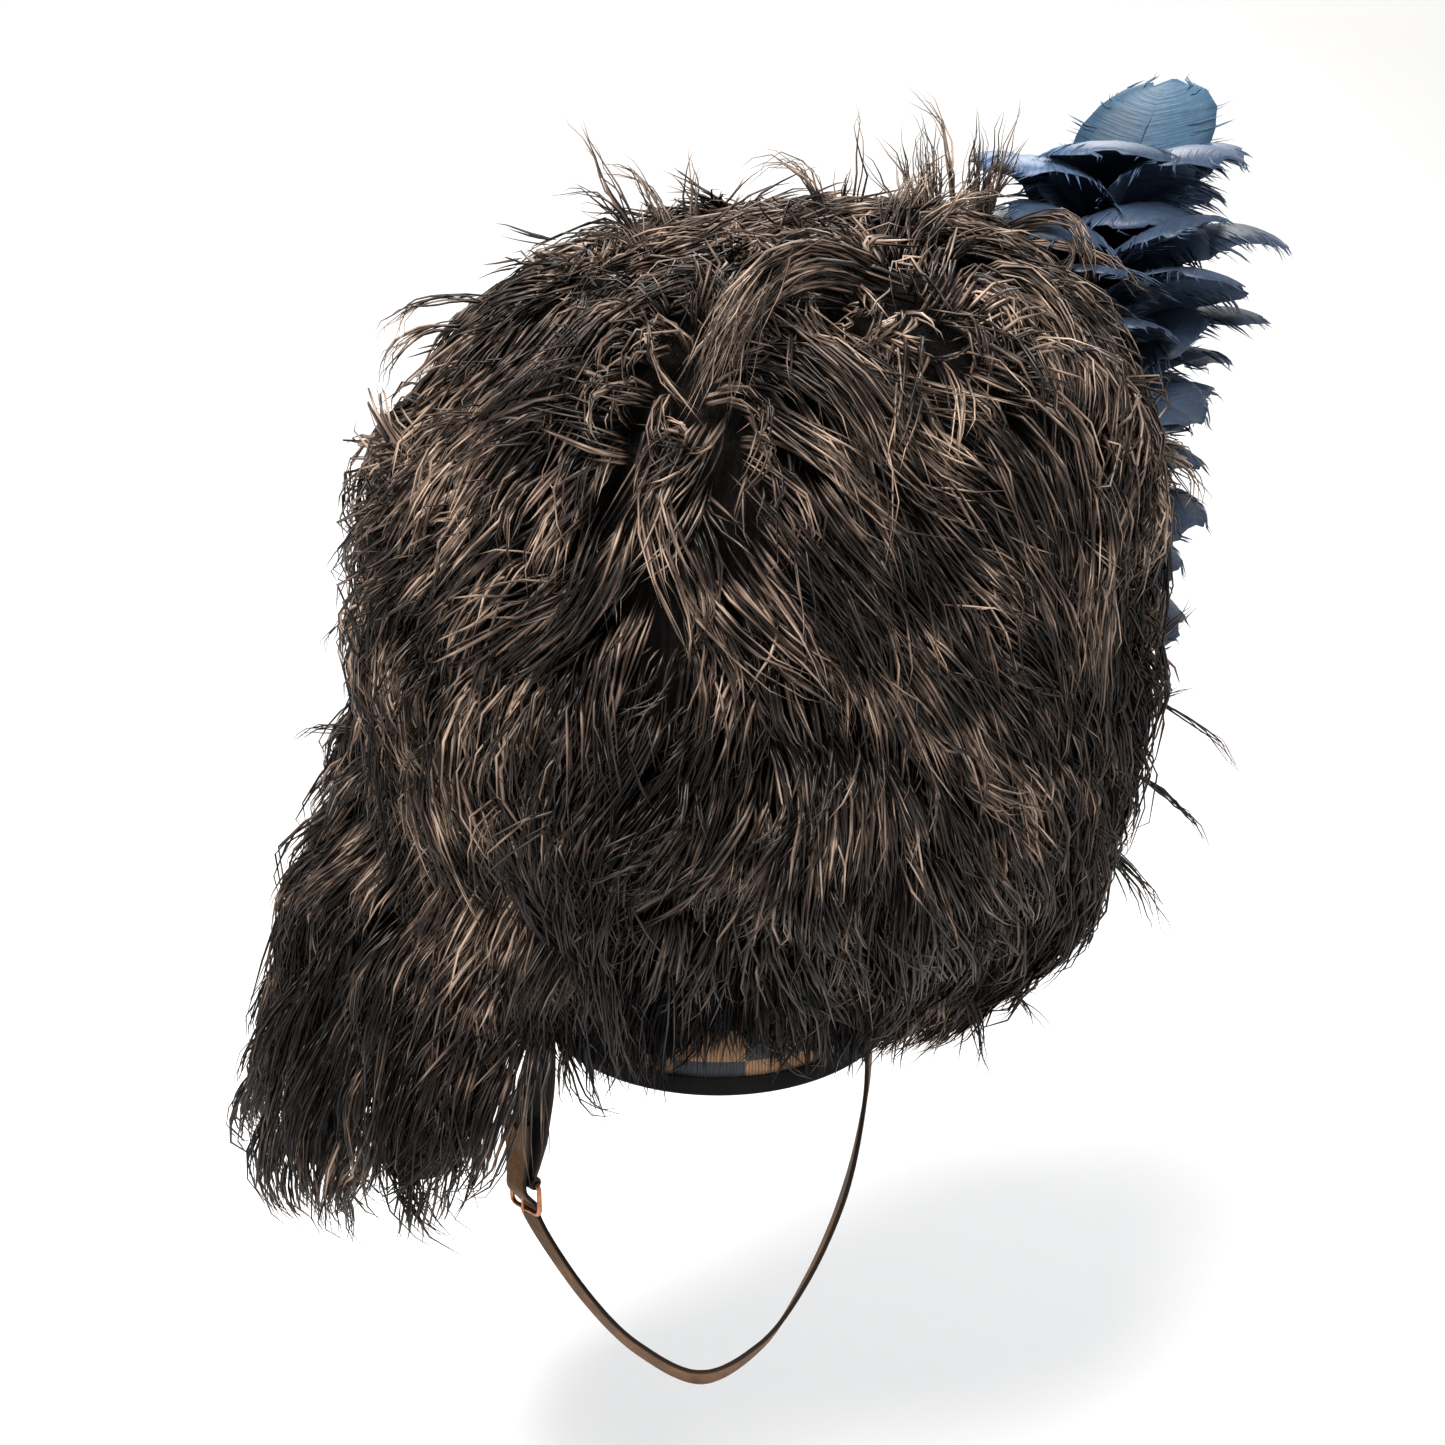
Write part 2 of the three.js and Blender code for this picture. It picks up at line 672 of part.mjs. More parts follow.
// A flat strip along a route, its width pointing as heading and tilt say
function strip(route, width, thickness, steps) {
  const curve = new THREE.CatmullRomCurve3(
    route.map(({ x, y, z }) => new THREE.Vector3(x, y, z)),
    false,
    "centripetal",
  );
  const rings = Array.from({ length: steps + 1 }, (_, step) => {
    const spot = (step / steps) * (route.length - 1);
    const low = Math.min(Math.floor(spot), route.length - 2);
    const between = (column) => THREE.MathUtils.lerp(route[low][column], route[low + 1][column], spot - low);
    const heading = THREE.MathUtils.degToRad(between("heading"));
    const tilt = THREE.MathUtils.degToRad(between("tilt"));
    const centre = curve.getPoint(step / steps);
    const tangent = curve.getTangent(step / steps);
    const across = new THREE.Vector3(
      Math.sin(heading) * Math.cos(tilt),
      Math.cos(heading) * Math.cos(tilt),
      Math.sin(tilt),
    );
    across.addScaledVector(tangent, -tangent.dot(across)).normalize();
    const outward = new THREE.Vector3().crossVectors(tangent, across);
    const corner = (side, face) => centre.clone()
      .addScaledVector(across, (side * width * between("width")) / 2)
      .addScaledVector(outward, (face * thickness) / 2);
    return [corner(-1, -1), corner(1, -1), corner(1, 1), corner(-1, 1)];
  });
  return solid(loft(rings));
}

// The buckle's own axes: X across the strap, Y up it, Z out of its face
const buckleAxes = (() => {
  const heading = THREE.MathUtils.degToRad(buckleHeading);
  const across = new THREE.Vector3(Math.sin(heading), Math.cos(heading), 0);
  const up = new THREE.Vector3(0, 0, 1);
  const outward = new THREE.Vector3().crossVectors(up, across);
  return new THREE.Matrix4().makeBasis(across.negate(), up, outward).setPosition(buckleX, buckleY, buckleZ);
})();
function atBuckle(up, out, width = 1) {
  const point = new THREE.Vector3(0, up, out).applyMatrix4(buckleAxes);
  return { x: point.x, y: point.y, z: point.z, heading: buckleHeading, tilt: 0, width };
}
function boxAtBuckle(width, height, depth, up = 0, out = 0) {
  return solid(new THREE.BoxGeometry(width, height, depth).translate(0, up, out).applyMatrix4(buckleAxes));
}
// A profile in the buckle's up and out plane, as wide as given
function profileAtBuckle(corners, width) {
  const shape = new THREE.Shape(corners.map(([out, up]) => new THREE.Vector2(out, up)));
  const block = new THREE.ExtrudeGeometry(shape, { depth: width, bevelEnabled: false });
  block.translate(0, 0, -width / 2).applyMatrix4(new THREE.Matrix4().makeBasis(
    new THREE.Vector3(0, 0, 1),
    new THREE.Vector3(0, 1, 0),
    new THREE.Vector3(-1, 0, 0),
  ));
  return solid(block.applyMatrix4(buckleAxes));
}
const barUp = (buckleHeight - buckleBar) / 2;
const sleeveInner = buckleBar / 2 + fitGap;
const sleeveOuter = sleeveInner + chapeThickness * 0.75;
const sleeveWidth = buckleWidth - 2 * buckleBar - 2 * fitGap;
const prongOut = buckleBar / 2 + fitGap;

function makeBuckleFrame() {
  const opening = boxAtBuckle(buckleWidth - 2 * buckleBar, buckleHeight - 2 * buckleBar, 2 * buckleBar);
  return boxAtBuckle(buckleWidth, buckleHeight, buckleBar).subtract(opening);
}
// The prong's eye goes round the upper bar and its arm rests on the lower one
function prongBody(extra) {
  const outer = prongOut + prongWidth / 2 + extra;
  const eye = boxAtBuckle(prongWidth + 2 * extra, 2 * outer, 2 * outer, barUp);
  const arm = profileAtBuckle([
    [prongOut - extra, barUp - prongOut],
    [prongOut - extra, -buckleHeight / 2 - extra],
    [outer, -buckleHeight / 2 - extra],
    [outer, barUp - prongOut],
  ], prongWidth + 2 * extra);
  return joined([eye, arm]);
}
function makeBuckleProng() {
  return prongBody(0).subtract(boxAtBuckle(2 * buckleWidth, 2 * prongOut, 2 * prongOut, barUp));
}

// The broad piece hangs from outside the band and its lower end folds round the buckle's upper bar
function chapeRoute() {
  const angle = THREE.MathUtils.degToRad(chapeAngle);
  const seat = bindingOut + 4 * fitGap + chapeThickness / 2;
  const x = (rimX + seat) * Math.cos(angle);
  const y = (rimY + seat) * Math.sin(angle);
  const heading = THREE.MathUtils.radToDeg(Math.atan2(Math.cos(angle) * rimX, Math.sin(angle) * rimY)) + 90;
  const end = atBuckle(barUp + sleeveInner, 0, sleeveWidth / chapeWidth);
  const hanging = (share) => ({
    x: THREE.MathUtils.lerp(x, end.x, share),
    y: THREE.MathUtils.lerp(y, end.y, share),
    heading: THREE.MathUtils.lerp(heading, buckleHeading, share),
    tilt: 0,
  });
  return [
    { ...hanging(0), z: bandHeight * 0.8, width: 0.86 },
    { ...hanging(0), z: bindingHeight, width: 0.9 },
    { ...hanging(0.2), z: buckleZ * 0.25, width: 1 },
    { ...hanging(0.75), z: buckleZ * 0.6, width: 1 },
    { ...end, z: end.z + sleeveOuter },
    end,
  ];
}
function makeStrapChape() {
  const sleeve = boxAtBuckle(sleeveWidth, 2 * sleeveOuter, 2 * sleeveOuter, barUp)
    .subtract(boxAtBuckle(2 * buckleWidth, 2 * sleeveInner, 2 * sleeveInner, barUp));
  return joined([strip(chapeRoute(), chapeWidth, chapeThickness, 15), sleeve]).subtract(prongBody(fitGap));
}
// The room that plumes and tails leave round the broad piece
const chapeRoom = () => strip(chapeRoute(), chapeWidth + 4 * fitGap, chapeThickness + 4 * fitGap, 5)
  .translate([0, 0, fitGap]);

// The strap passes behind the buckle's lower bar and over the sleeve, and its free end lies on the broad piece
function makeChinStrap() {
  const behind = -(buckleBar / 2 + 2 * fitGap + strapThickness / 2);
  const over = sleeveOuter + 2 * fitGap + strapThickness / 2;
  const onChape = chapeThickness / 2 + 3 * fitGap + strapThickness / 2;
  const route = [
    ...strapRoute,
    atBuckle(-barUp - 1.6 * buckleBar, behind),
    atBuckle(-barUp + 0.3 * buckleBar, behind),
    atBuckle(barUp - sleeveOuter - fitGap, over),
    atBuckle(barUp + sleeveOuter, over),
    atBuckle(barUp + freeEnd * 0.5, onChape + fitGap, 1.25),
    atBuckle(barUp + freeEnd, onChape + fitGap, 1.5),
  ];
  const cut = new THREE.CylinderGeometry(notch, notch, 6 * strapThickness, 3);
  const wedge = solid(cut.rotateX(Math.PI / 2).translate(0, barUp + freeEnd, onChape).applyMatrix4(buckleAxes));
  return mainBody(strip(route, strapWidth, strapThickness, 56).subtract(prongBody(fitGap)).subtract(wedge));
}

const group = new THREE.Group();
const look = (colour, roughness, metalness = 0) =>
  new THREE.MeshStandardMaterial({ color: colour, roughness, metalness });
const finishes = {
  cloth: look(0x1a1817, 0.95),
  dicing: look(0x9c6a44, 0.9),
  blackLeather: look(0x15130f, 0.6),
  brownLeather: look(0x3b2a1e, 0.6),
  plume: look(0x2c231f, 0.8),
  hackle: look(0x27344f, 0.75),
  copper: look(0x9a6248, 0.35, 1),
};
function place(name, made, finish) {
  const mesh = new THREE.Mesh(geometryOf(made), finish);
  mesh.name = name;
  group.add(mesh);
}

const tails = makeTails();
const plumes = makePlumes(tails);
place("crown", makeCrown(), finishes.cloth);
place("headband", makeHeadband(), finishes.dicing);
place("edge_binding", makeEdgeBinding(), finishes.blackLeather);
place("top_plumes", plumes.top, finishes.plume);
place("middle_plumes", plumes.middle, finishes.plume);
place("lower_plumes", plumes.lower, finishes.plume);
tails.forEach((tail, index) => place(`tail_${index + 1}`, tail, finishes.plume));
place("hackle", makeHackle(), finishes.hackle);
place("hackle_socket", makeHackleSocket(), finishes.blackLeather);

place("strap_chape", makeStrapChape(), finishes.blackLeather);
place("chin_strap", makeChinStrap(), finishes.brownLeather);
place("buckle_frame", makeBuckleFrame(), finishes.copper);
place("buckle_prong", makeBuckleProng(), finishes.copper);

export default group;
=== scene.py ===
import bpy
import math
import numpy as np
from functools import partial
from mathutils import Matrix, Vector


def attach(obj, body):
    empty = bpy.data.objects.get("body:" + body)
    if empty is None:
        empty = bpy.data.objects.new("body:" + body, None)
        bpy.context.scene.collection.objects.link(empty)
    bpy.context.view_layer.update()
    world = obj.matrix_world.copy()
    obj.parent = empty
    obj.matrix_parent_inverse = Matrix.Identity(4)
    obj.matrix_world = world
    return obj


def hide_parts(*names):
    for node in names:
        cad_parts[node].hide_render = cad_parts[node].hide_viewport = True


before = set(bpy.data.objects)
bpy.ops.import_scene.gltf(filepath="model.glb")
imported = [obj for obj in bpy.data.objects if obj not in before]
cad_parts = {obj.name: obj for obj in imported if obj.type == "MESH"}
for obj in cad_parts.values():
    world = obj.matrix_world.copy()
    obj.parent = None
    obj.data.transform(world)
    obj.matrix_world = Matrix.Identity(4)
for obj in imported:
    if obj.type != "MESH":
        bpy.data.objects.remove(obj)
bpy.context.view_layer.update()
print("frame loaded")

# where the picture is taken from
view = {"elevation": 19.5, "distance": 1.05, "focal": 2250 / 1445, "target": (0.002, 0.0, 0.138), "pixels": 1445}


# the point seen at a place in the picture, for a given y
def seenAt(across, down, y):
    rise = math.radians(view["elevation"])
    eye = np.array(view["target"]) + view["distance"] * np.array((0, -math.cos(rise), math.sin(rise)))
    middle, scale = view["pixels"] / 2, view["focal"] * view["pixels"]
    ray = np.array(((across - middle) / scale, math.cos(rise) + (middle - down) / scale * math.sin(rise),
                    -math.sin(rise) + (middle - down) / scale * math.cos(rise)))
    return eye + ray * (y - eye[1]) / ray[1]


# sizes of the bonnet's form in metres, as in the part's source, and the shape of its top
form = {
    "rimX": 0.0849, "rimY": 0.1029, "crownWall": 0.0024, "crownHeight": 0.322, "crownSwell": 0.020,
    "crownLean": 0.024, "crownAround": 128, "bandHeight": 0.044, "bindingHeight": 0.0095, "edgeLift": 0.0017,
    "plumeHeight": 0.374, "plumeLeft": 0.098, "plumeRight": 0.104, "plumeFront": 0.062, "plumeBack": 0.070,
    "hemFront": 0.015, "hemSide": 0.001, "inset": 0.009,
    "roundness": 3.4, "domeFrom": 0.46, "domeSpan": 0.54, "cheekDrop": 0.010, "backDrop": 0.006,
}
bonnetMiddle = np.array((0.01, 0.0, 0.16))
crownRows = np.array([  # height, swell, round, lean
    (0.0, 0.0, 1.0, 0.0), (0.16, 0.05, 1.0, 0.04), (0.34, 0.6, 1.0, 0.22), (0.62, 1.0, 1.0, 0.56),
    (0.82, 1.0, 0.93, 0.8), (0.95, 1.0, 0.62, 0.95), (1.0, 1.0, 0.12, 1.0)])
plumeRows = np.array([  # height, left, right, front, back, lean
    (0.0, 0.5, 0.3, 0.14, 0.4, 0.0), (0.08, 0.86, 0.66, 0.24, 0.66, 0.02), (0.2, 1.0, 0.97, 0.62, 0.92, 0.1),
    (0.36, 0.92, 1.0, 0.92, 1.0, 0.26), (0.55, 0.84, 0.88, 1.0, 0.96, 0.5), (0.76, 0.86, 0.92, 1.0, 0.95, 0.76),
    (1.0, 0.86, 0.92, 1.0, 0.95, 1.0)])


# what each later column of a table holds at a place in its first one
def readRows(rows, place):
    return [np.interp(place, rows[:, 0], column) for column in rows.T[1:]]


def turnsRound(count):
    return np.linspace(0, 2 * np.pi, count, endpoint=False)


def crownSize(z):
    share = np.clip((z - form["edgeLift"]) / (form["crownHeight"] - form["edgeLift"]), 0, 1)
    swell, taper, lean = readRows(crownRows, share)
    return (form["crownLean"] * lean, (form["rimX"] + form["crownSwell"] * swell) * taper,
            (form["rimY"] + form["crownSwell"] * swell) * taper)


def crownRound(z, offset, count, lift=0.0):
    turns = turnsRound(count)
    cx, rx, ry = crownSize(z)
    return np.stack([cx + (rx + offset) * np.cos(turns), (ry + offset) * np.sin(turns), np.full(count, z + lift)], 1)


def plumeSize(z):
    left, right, front, back, lean = readRows(plumeRows, np.clip(z / form["plumeHeight"], 0, 1))
    left, right = form["rimX"] + form["plumeLeft"] * left, form["rimX"] + form["plumeRight"] * right
    front, back = form["rimY"] + form["plumeFront"] * front, form["rimY"] + form["plumeBack"] * back
    return (form["crownLean"] * lean + (right - left) / 2, (back - front) / 2, (left + right) / 2,
            (front + back) / 2)


# the skin the plumes lie on, as a field: zero on it, more outside; its top slopes down to the right cheek
def skinField(p):
    cx, cy, rx, ry = plumeSize(p[:, 2])
    inset, power = form["inset"], form["roundness"]
    rho = np.sqrt(((p[:, 0] - cx) / (rx - inset)) ** 2 + ((p[:, 1] - cy) / (ry - inset)) ** 2)
    top = form["plumeHeight"] - 0.4 * inset - form["cheekDrop"] * np.clip(-p[:, 0] / 0.12, 0, 1.3) \
        - form["backDrop"] * np.clip(p[:, 1] / 0.1, 0, 1)
    domed = np.clip((p[:, 2] / top - form["domeFrom"]) / form["domeSpan"], 0, None)
    return (rho ** power + domed ** power) ** (1 / power) - 1


def skinNormal(p):
    step = 0.002
    grad = np.stack([skinField(p + step * axis) - skinField(p - step * axis) for axis in np.eye(3)], 1) / (2 * step)
    size = np.linalg.norm(grad, axis=1, keepdims=True)
    return grad / np.maximum(size, 1e-9), size[:, 0]


def ontoSkin(p):
    for _ in range(3):
        normal, size = skinNormal(p)
        p = p - normal * (skinField(p) / np.maximum(size, 1))[:, None]
    return p, skinNormal(p)[0]


# where lines from the bonnet's middle meet the skin, found by halving
def skinAlong(ways):
    near, far = np.full(len(ways), 0.02), np.full(len(ways), 0.4)
    for _ in range(24):
        middle = (near + far) / 2
        inside = skinField(bonnetMiddle + ways * middle[:, None]) < 0
        near, far = np.where(inside, middle, near), np.where(inside, far, middle)
    return bonnetMiddle + ways * near[:, None]


def unit(v):
    return v / np.maximum(np.linalg.norm(v, axis=-1, keepdims=True), 1e-9)


# gives a node's inputs, by name or by number, a value or another node's output
def setInputs(tree, node, values):
    for key, value in values.items():
        socket = node.inputs[int(key) if key.isdigit() else key.replace("_", " ")]
        if isinstance(value, bpy.types.NodeSocket):
            tree.links.new(value, socket)
        else:
            socket.default_value = value


# adds a node and gives back the named output, or else the first in use; in_ stands before an input's name or number
def addNode(tree, kind, give="", **settings):
    node = tree.nodes.new(kind)
    node.location = (180 * len(tree.nodes), 0)
    for key, value in settings.items():
        if not key.startswith("in_"):
            setattr(node, key, value)
    setInputs(tree, node, {key[3:]: value for key, value in settings.items() if key.startswith("in_")})
    return node.outputs[give] if give else next((o for o in node.outputs if o.enabled), None)


def addMath(tree, operation, *values, kind="ShaderNodeMath", **settings):
    return addNode(tree, kind, operation=operation, **settings, **{f"in_{k}": v for k, v in enumerate(values)})


def addNoise(tree, where, scale, detail=2.0, roughness=0.5):
    return addNode(tree, "ShaderNodeTexNoise", "Fac", in_Vector=where, in_Scale=scale, in_Detail=detail,
                   in_Roughness=roughness)


def addRange(tree, value, low=0.0, high=1.0, toLow=0.0, toHigh=1.0):
    return addNode(tree, "ShaderNodeMapRange", in_Value=value, in_From_Min=low, in_From_Max=high, in_To_Min=toLow,
                   in_To_Max=toHigh)


def addAttribute(tree, name, give="Fac"):
    return addNode(tree, "ShaderNodeAttribute", give, attribute_name=name)


def objectPlace(tree):
    return addNode(tree, "ShaderNodeTexCoord", "Object")


def newMaterial(name, roughness, **sockets):
    material = bpy.data.materials.new(name)
    material.use_nodes = True
    tree = material.node_tree
    shader = tree.nodes["Principled BSDF"]
    setInputs(tree, shader, {"Roughness": roughness, **sockets})
    return material, tree, shader


def addRamp(tree, value, stops):
    colour = addNode(tree, "ShaderNodeValToRGB", "Color", in_Fac=value)
    elements = colour.node.color_ramp.elements
    while len(elements) < len(stops):
        elements.new(0.5)
    for element, (place, shade) in zip(elements, stops):
        element.position = place
        element.color = (*shade, 1)
    return colour


def addBump(tree, height, strength, distance):
    return addNode(tree, "ShaderNodeBump", in_Height=height, in_Strength=strength, in_Distance=distance)


plumeColours = [(0.35, (0.0019, 0.0017, 0.0018)), (0.52, (0.0066, 0.0048, 0.0042)), (0.68, (0.034, 0.0230, 0.0178)),
                (0.82, (0.130, 0.090, 0.068)), (1.0, (0.34, 0.25, 0.19))]


# own and patches are the barbs' own tone; tip pales the tips, partly own colour and partly painted shade at the roots;
# high, below and above paint shade on low plumes and light on high ones
barbShade = {"own": 0.42, "patches": ((14.0, 0.36), (55.0, 0.32)), "patchEnds": (0.3, 0.7), "tip": 0.18,
             "high": 0.26, "below": -0.245, "above": 0.02}


# each barb has a tone of its own, its lock another; tips are paler than roots, partly the barbs' own colour and partly
# painted shade in the gaps by the roots; high plumes are paler than low ones, painted light above and painted shade
# below
def barbMaterial(name, roughness, level, shade=0.0):
    material, tree, shader = newMaterial(name, roughness, Specular_IOR_Level=level,
                                         Specular_Tint=(1.0, 0.92, 0.85, 1))
    own = addNode(tree, "ShaderNodeSeparateXYZ", "Z", in_Vector=addAttribute(tree, "scatter", "Vector"))
    place = objectPlace(tree)
    total = addRange(tree, own, -1.0, toHigh=barbShade["own"])
    for scale, share in barbShade["patches"]:
        patch = addRange(tree, addNoise(tree, place, scale), *barbShade["patchEnds"])
        total = addMath(tree, "MULTIPLY_ADD", patch, share, total)
    # painted shade and light by height: plumes darken from the height high down to the foot, as light from above would
    # make them, and shade moves this for a whole copy
    low = addRange(tree, addNode(tree, "ShaderNodeSeparateXYZ", "Z", in_Vector=place), 0.0, barbShade["high"],
                   shade + barbShade["below"], shade + barbShade["above"])
    # tips paler than roots: the barbs' own colour, and painted shade in the gaps by the roots
    tip = addMath(tree, "MULTIPLY_ADD", addAttribute(tree, "along"), barbShade["tip"],
                  addMath(tree, "ADD", total, low))
    setInputs(tree, shader, {"Base Color": addRamp(tree, tip, plumeColours)})
    return material


# one barb material in three copies: the fringe copy is painted a little darker for the shade at the brow, the tail copy
# less dark, by moving the painted height shade
plumeBarbs = barbMaterial("plumeBarbs", 0.42, 0.3)
fringeBarbs = barbMaterial("fringeBarbs", 0.55, 0.06, -0.03)
tailBarbs = barbMaterial("tailBarbs", 0.42, 0.3, 0.08)

barbInputs = {"Barbs per guide": "Int", "Points per barb": "Int", "Barb width": "Float", "Barb flatness": "Float",
              "Waviness": "Float", "Wave size": "Float", "Shortest share": "Float", "Seed": "Int",
              "Material": "Material"}


# the tree that lays barbs along guides, every one with a length, a wave and a turn of its own
def makeBarbTree():
    tree = bpy.data.node_groups.new("barbsAlongGuides", "GeometryNodeTree")
    tree.interface.new_socket("Geometry", in_out="OUTPUT", socket_type="NodeSocketGeometry")
    for label, kind in {"Geometry": "Geometry", **barbInputs}.items():
        tree.interface.new_socket(label, in_out="INPUT", socket_type="NodeSocket" + kind)
    given = tree.nodes.new("NodeGroupInput").outputs
    add, scalar, vector = (partial(addNode, tree), partial(addMath, tree),
                           partial(addMath, tree, kind="ShaderNodeVectorMath"))
    index = add("GeometryNodeInputIndex")

    def dice(kind, **settings):
        return add("FunctionNodeRandomValue", data_type=kind, in_ID=index, **settings)

    def stored(name):
        return add("GeometryNodeInputNamedAttribute", data_type="FLOAT_VECTOR", in_Name=name)

    curve = add("GeometryNodeMeshToCurve", in_Mesh=given["Geometry"])
    many = add("GeometryNodeDuplicateElements", domain="SPLINE", in_Geometry=curve,
               in_Amount=given["Barbs per guide"])
    scattered = add("GeometryNodeStoreNamedAttribute", data_type="FLOAT_VECTOR", domain="CURVE", in_Name="scatter",
                    in_Geometry=many,
                    in_Value=dice("FLOAT_VECTOR", in_0=(-1, -1, -1), in_1=(1, 1, 1), in_Seed=given["Seed"]))
    trimmed = add("GeometryNodeTrimCurve", mode="FACTOR", in_Curve=scattered,
                  in_2=dice("FLOAT", in_2=0.0, in_3=0.28, in_Seed=scalar("ADD", given["Seed"], 1)),
                  in_3=dice("FLOAT", in_2=given["Shortest share"], in_3=1.0, in_Seed=7))
    even = add("GeometryNodeResampleCurve", mode="COUNT", in_Curve=trimmed, in_Count=given["Points per barb"])

    # each barb keeps its own place across and out of its lock, and its own wave that grows towards the tip
    own = add("ShaderNodeSeparateXYZ", in_0=stored("scatter")).node.outputs
    offset = vector("ADD", vector("SCALE", stored("across"), in_Scale=own["X"]),
                    vector("SCALE", stored("outward"), in_Scale=own["Y"]))
    along = add("GeometryNodeSplineParameter", "Factor")
    noise = add("ShaderNodeTexNoise", "Color", noise_dimensions="4D", in_Detail=1.0, in_Scale=given["Wave size"],
                in_W=scalar("MULTIPLY", own["Z"], 40.0), in_Vector=add("GeometryNodeInputPosition"))
    wave = vector("SCALE", vector("SUBTRACT", noise, (0.5, 0.5, 0.5)),
                  in_Scale=scalar("MULTIPLY", along, given["Waviness"]))
    moved = add("GeometryNodeSetPosition", in_Geometry=even, in_Offset=vector("ADD", offset, wave))
    marked = add("GeometryNodeStoreNamedAttribute", data_type="FLOAT", domain="POINT", in_Name="along",
                 in_Geometry=moved, in_Value=along)
    twisted = add("GeometryNodeSetCurveTilt", in_Curve=marked, in_Tilt=scalar("MULTIPLY", own["Z"], 3.0))

    # a barb is a flat spindle, shut to a point at both ends
    taper = scalar("MULTIPLY", scalar("POWER", scalar("SUBTRACT", 1.0, along), 0.7),
                   scalar("MULTIPLY", along, 6.0, use_clamp=True))
    ring = add("GeometryNodeCurvePrimitiveCircle", mode="RADIUS", in_Resolution=3, in_Radius=0.5)
    squeeze = add("ShaderNodeCombineXYZ", in_X=1.0, in_Y=given["Barb flatness"], in_Z=1.0)
    swept = add("GeometryNodeCurveToMesh", in_Curve=twisted,
                in_Profile_Curve=add("GeometryNodeTransform", in_Geometry=ring, in_Scale=squeeze),
                in_Scale=scalar("MULTIPLY", taper, given["Barb width"]))
    shut = add("GeometryNodeMergeByDistance", in_Geometry=swept, in_Distance=2e-6)
    smooth = add("GeometryNodeSetShadeSmooth", in_Geometry=shut)
    real = add("GeometryNodeRealizeInstances", in_Geometry=smooth)
    painted = add("GeometryNodeSetMaterial", in_Geometry=real, in_Material=given["Material"])
    add("NodeGroupOutput", in_Geometry=painted)
    return tree


barbTree = makeBarbTree()


def addObject(name, data):
    piece = bpy.data.objects.new(name, data)
    bpy.context.scene.collection.objects.link(piece)
    return piece


def storeOn(mesh, label, values):
    values = np.asarray(values, "f")
    kind, field = ("FLOAT_VECTOR", "vector") if values.ndim > 1 else ("FLOAT", "value")
    mesh.attributes.new(label, kind, "POINT").data.foreach_set(field, values.ravel())


# guides is (count, steps, 3); across and outward say how far a lock's barbs stray at each step;
# kind is the tree's numbers in the order of barbInputs
def layBarbs(name, guides, across, outward, kind, material):
    count, steps = guides.shape[:2]
    first = np.arange(count * steps).reshape(count, steps)
    edges = np.stack([first[:, :-1].ravel(), first[:, 1:].ravel()], 1)
    mesh = bpy.data.meshes.new(name + "Guides")
    mesh.from_pydata(guides.reshape(-1, 3).tolist(), edges.tolist(), [])
    storeOn(mesh, "across", across)
    storeOn(mesh, "outward", outward)
    holder = addObject(name + "Guides", mesh)
    modifier = holder.modifiers.new("barbs", "NODES")
    modifier.node_group = barbTree
    values = dict(zip(barbInputs, (*kind, material)))
    for item in barbTree.interface.items_tree:
        if item.in_out == "INPUT" and item.name in values:
            modifier[item.identifier] = values[item.name]
    bpy.context.view_layer.update()
    made = bpy.data.meshes.new_from_object(holder.evaluated_get(bpy.context.evaluated_depsgraph_get()))
    for extra in ("across", "outward", "tilt", "radius"):
        if extra in made.attributes:
            made.attributes.remove(made.attributes[extra])
    bpy.data.objects.remove(holder)
    print(name, count, "guides,", sum(len(p.vertices) - 2 for p in made.polygons), "triangles")
    return addObject(name, made)


def addMesh(name, points, faces, material):
    mesh = bpy.data.meshes.new(name)
    mesh.from_pydata([tuple(map(float, p)) for p in points], [], [tuple(map(int, f)) for f in faces])
    mesh.materials.append(material)
    mesh.polygons.foreach_set("use_smooth", [True] * len(mesh.polygons))
    mesh.update()
    return addObject(name, mesh)


# a tube of quads through rings of points, joined end to end if closed, or else with both ends fanned shut
def shell(name, rings, material, closed=False, turned=False):
    levels, count = len(rings), len(rings[0])
    points, faces = np.concatenate(rings), []
    for level in range(levels if closed else levels - 1):
        a, b = level * count, ((level + 1) % levels) * count
        for k in range(count):
            n = (k + 1) % count
            faces.append((a + k, a + n, b + n, b + k))
    if not closed:
        points = np.concatenate([points, rings[0].mean(0)[None], rings[-1].mean(0)[None]])
        middle, last = levels * count, (levels - 1) * count
        for k in range(count):
            n = (k + 1) % count
            faces += [(middle, n, k), (middle + 1, last + k, last + n)]
    return addMesh(name, points, [face[::-1] for face in faces] if turned else faces, material)


down = {"depth": 0.013, "roughness": 0.95, "around": 96, "inside": 0.0032, "footHeight": 0.05, "footOut": 0.0075}


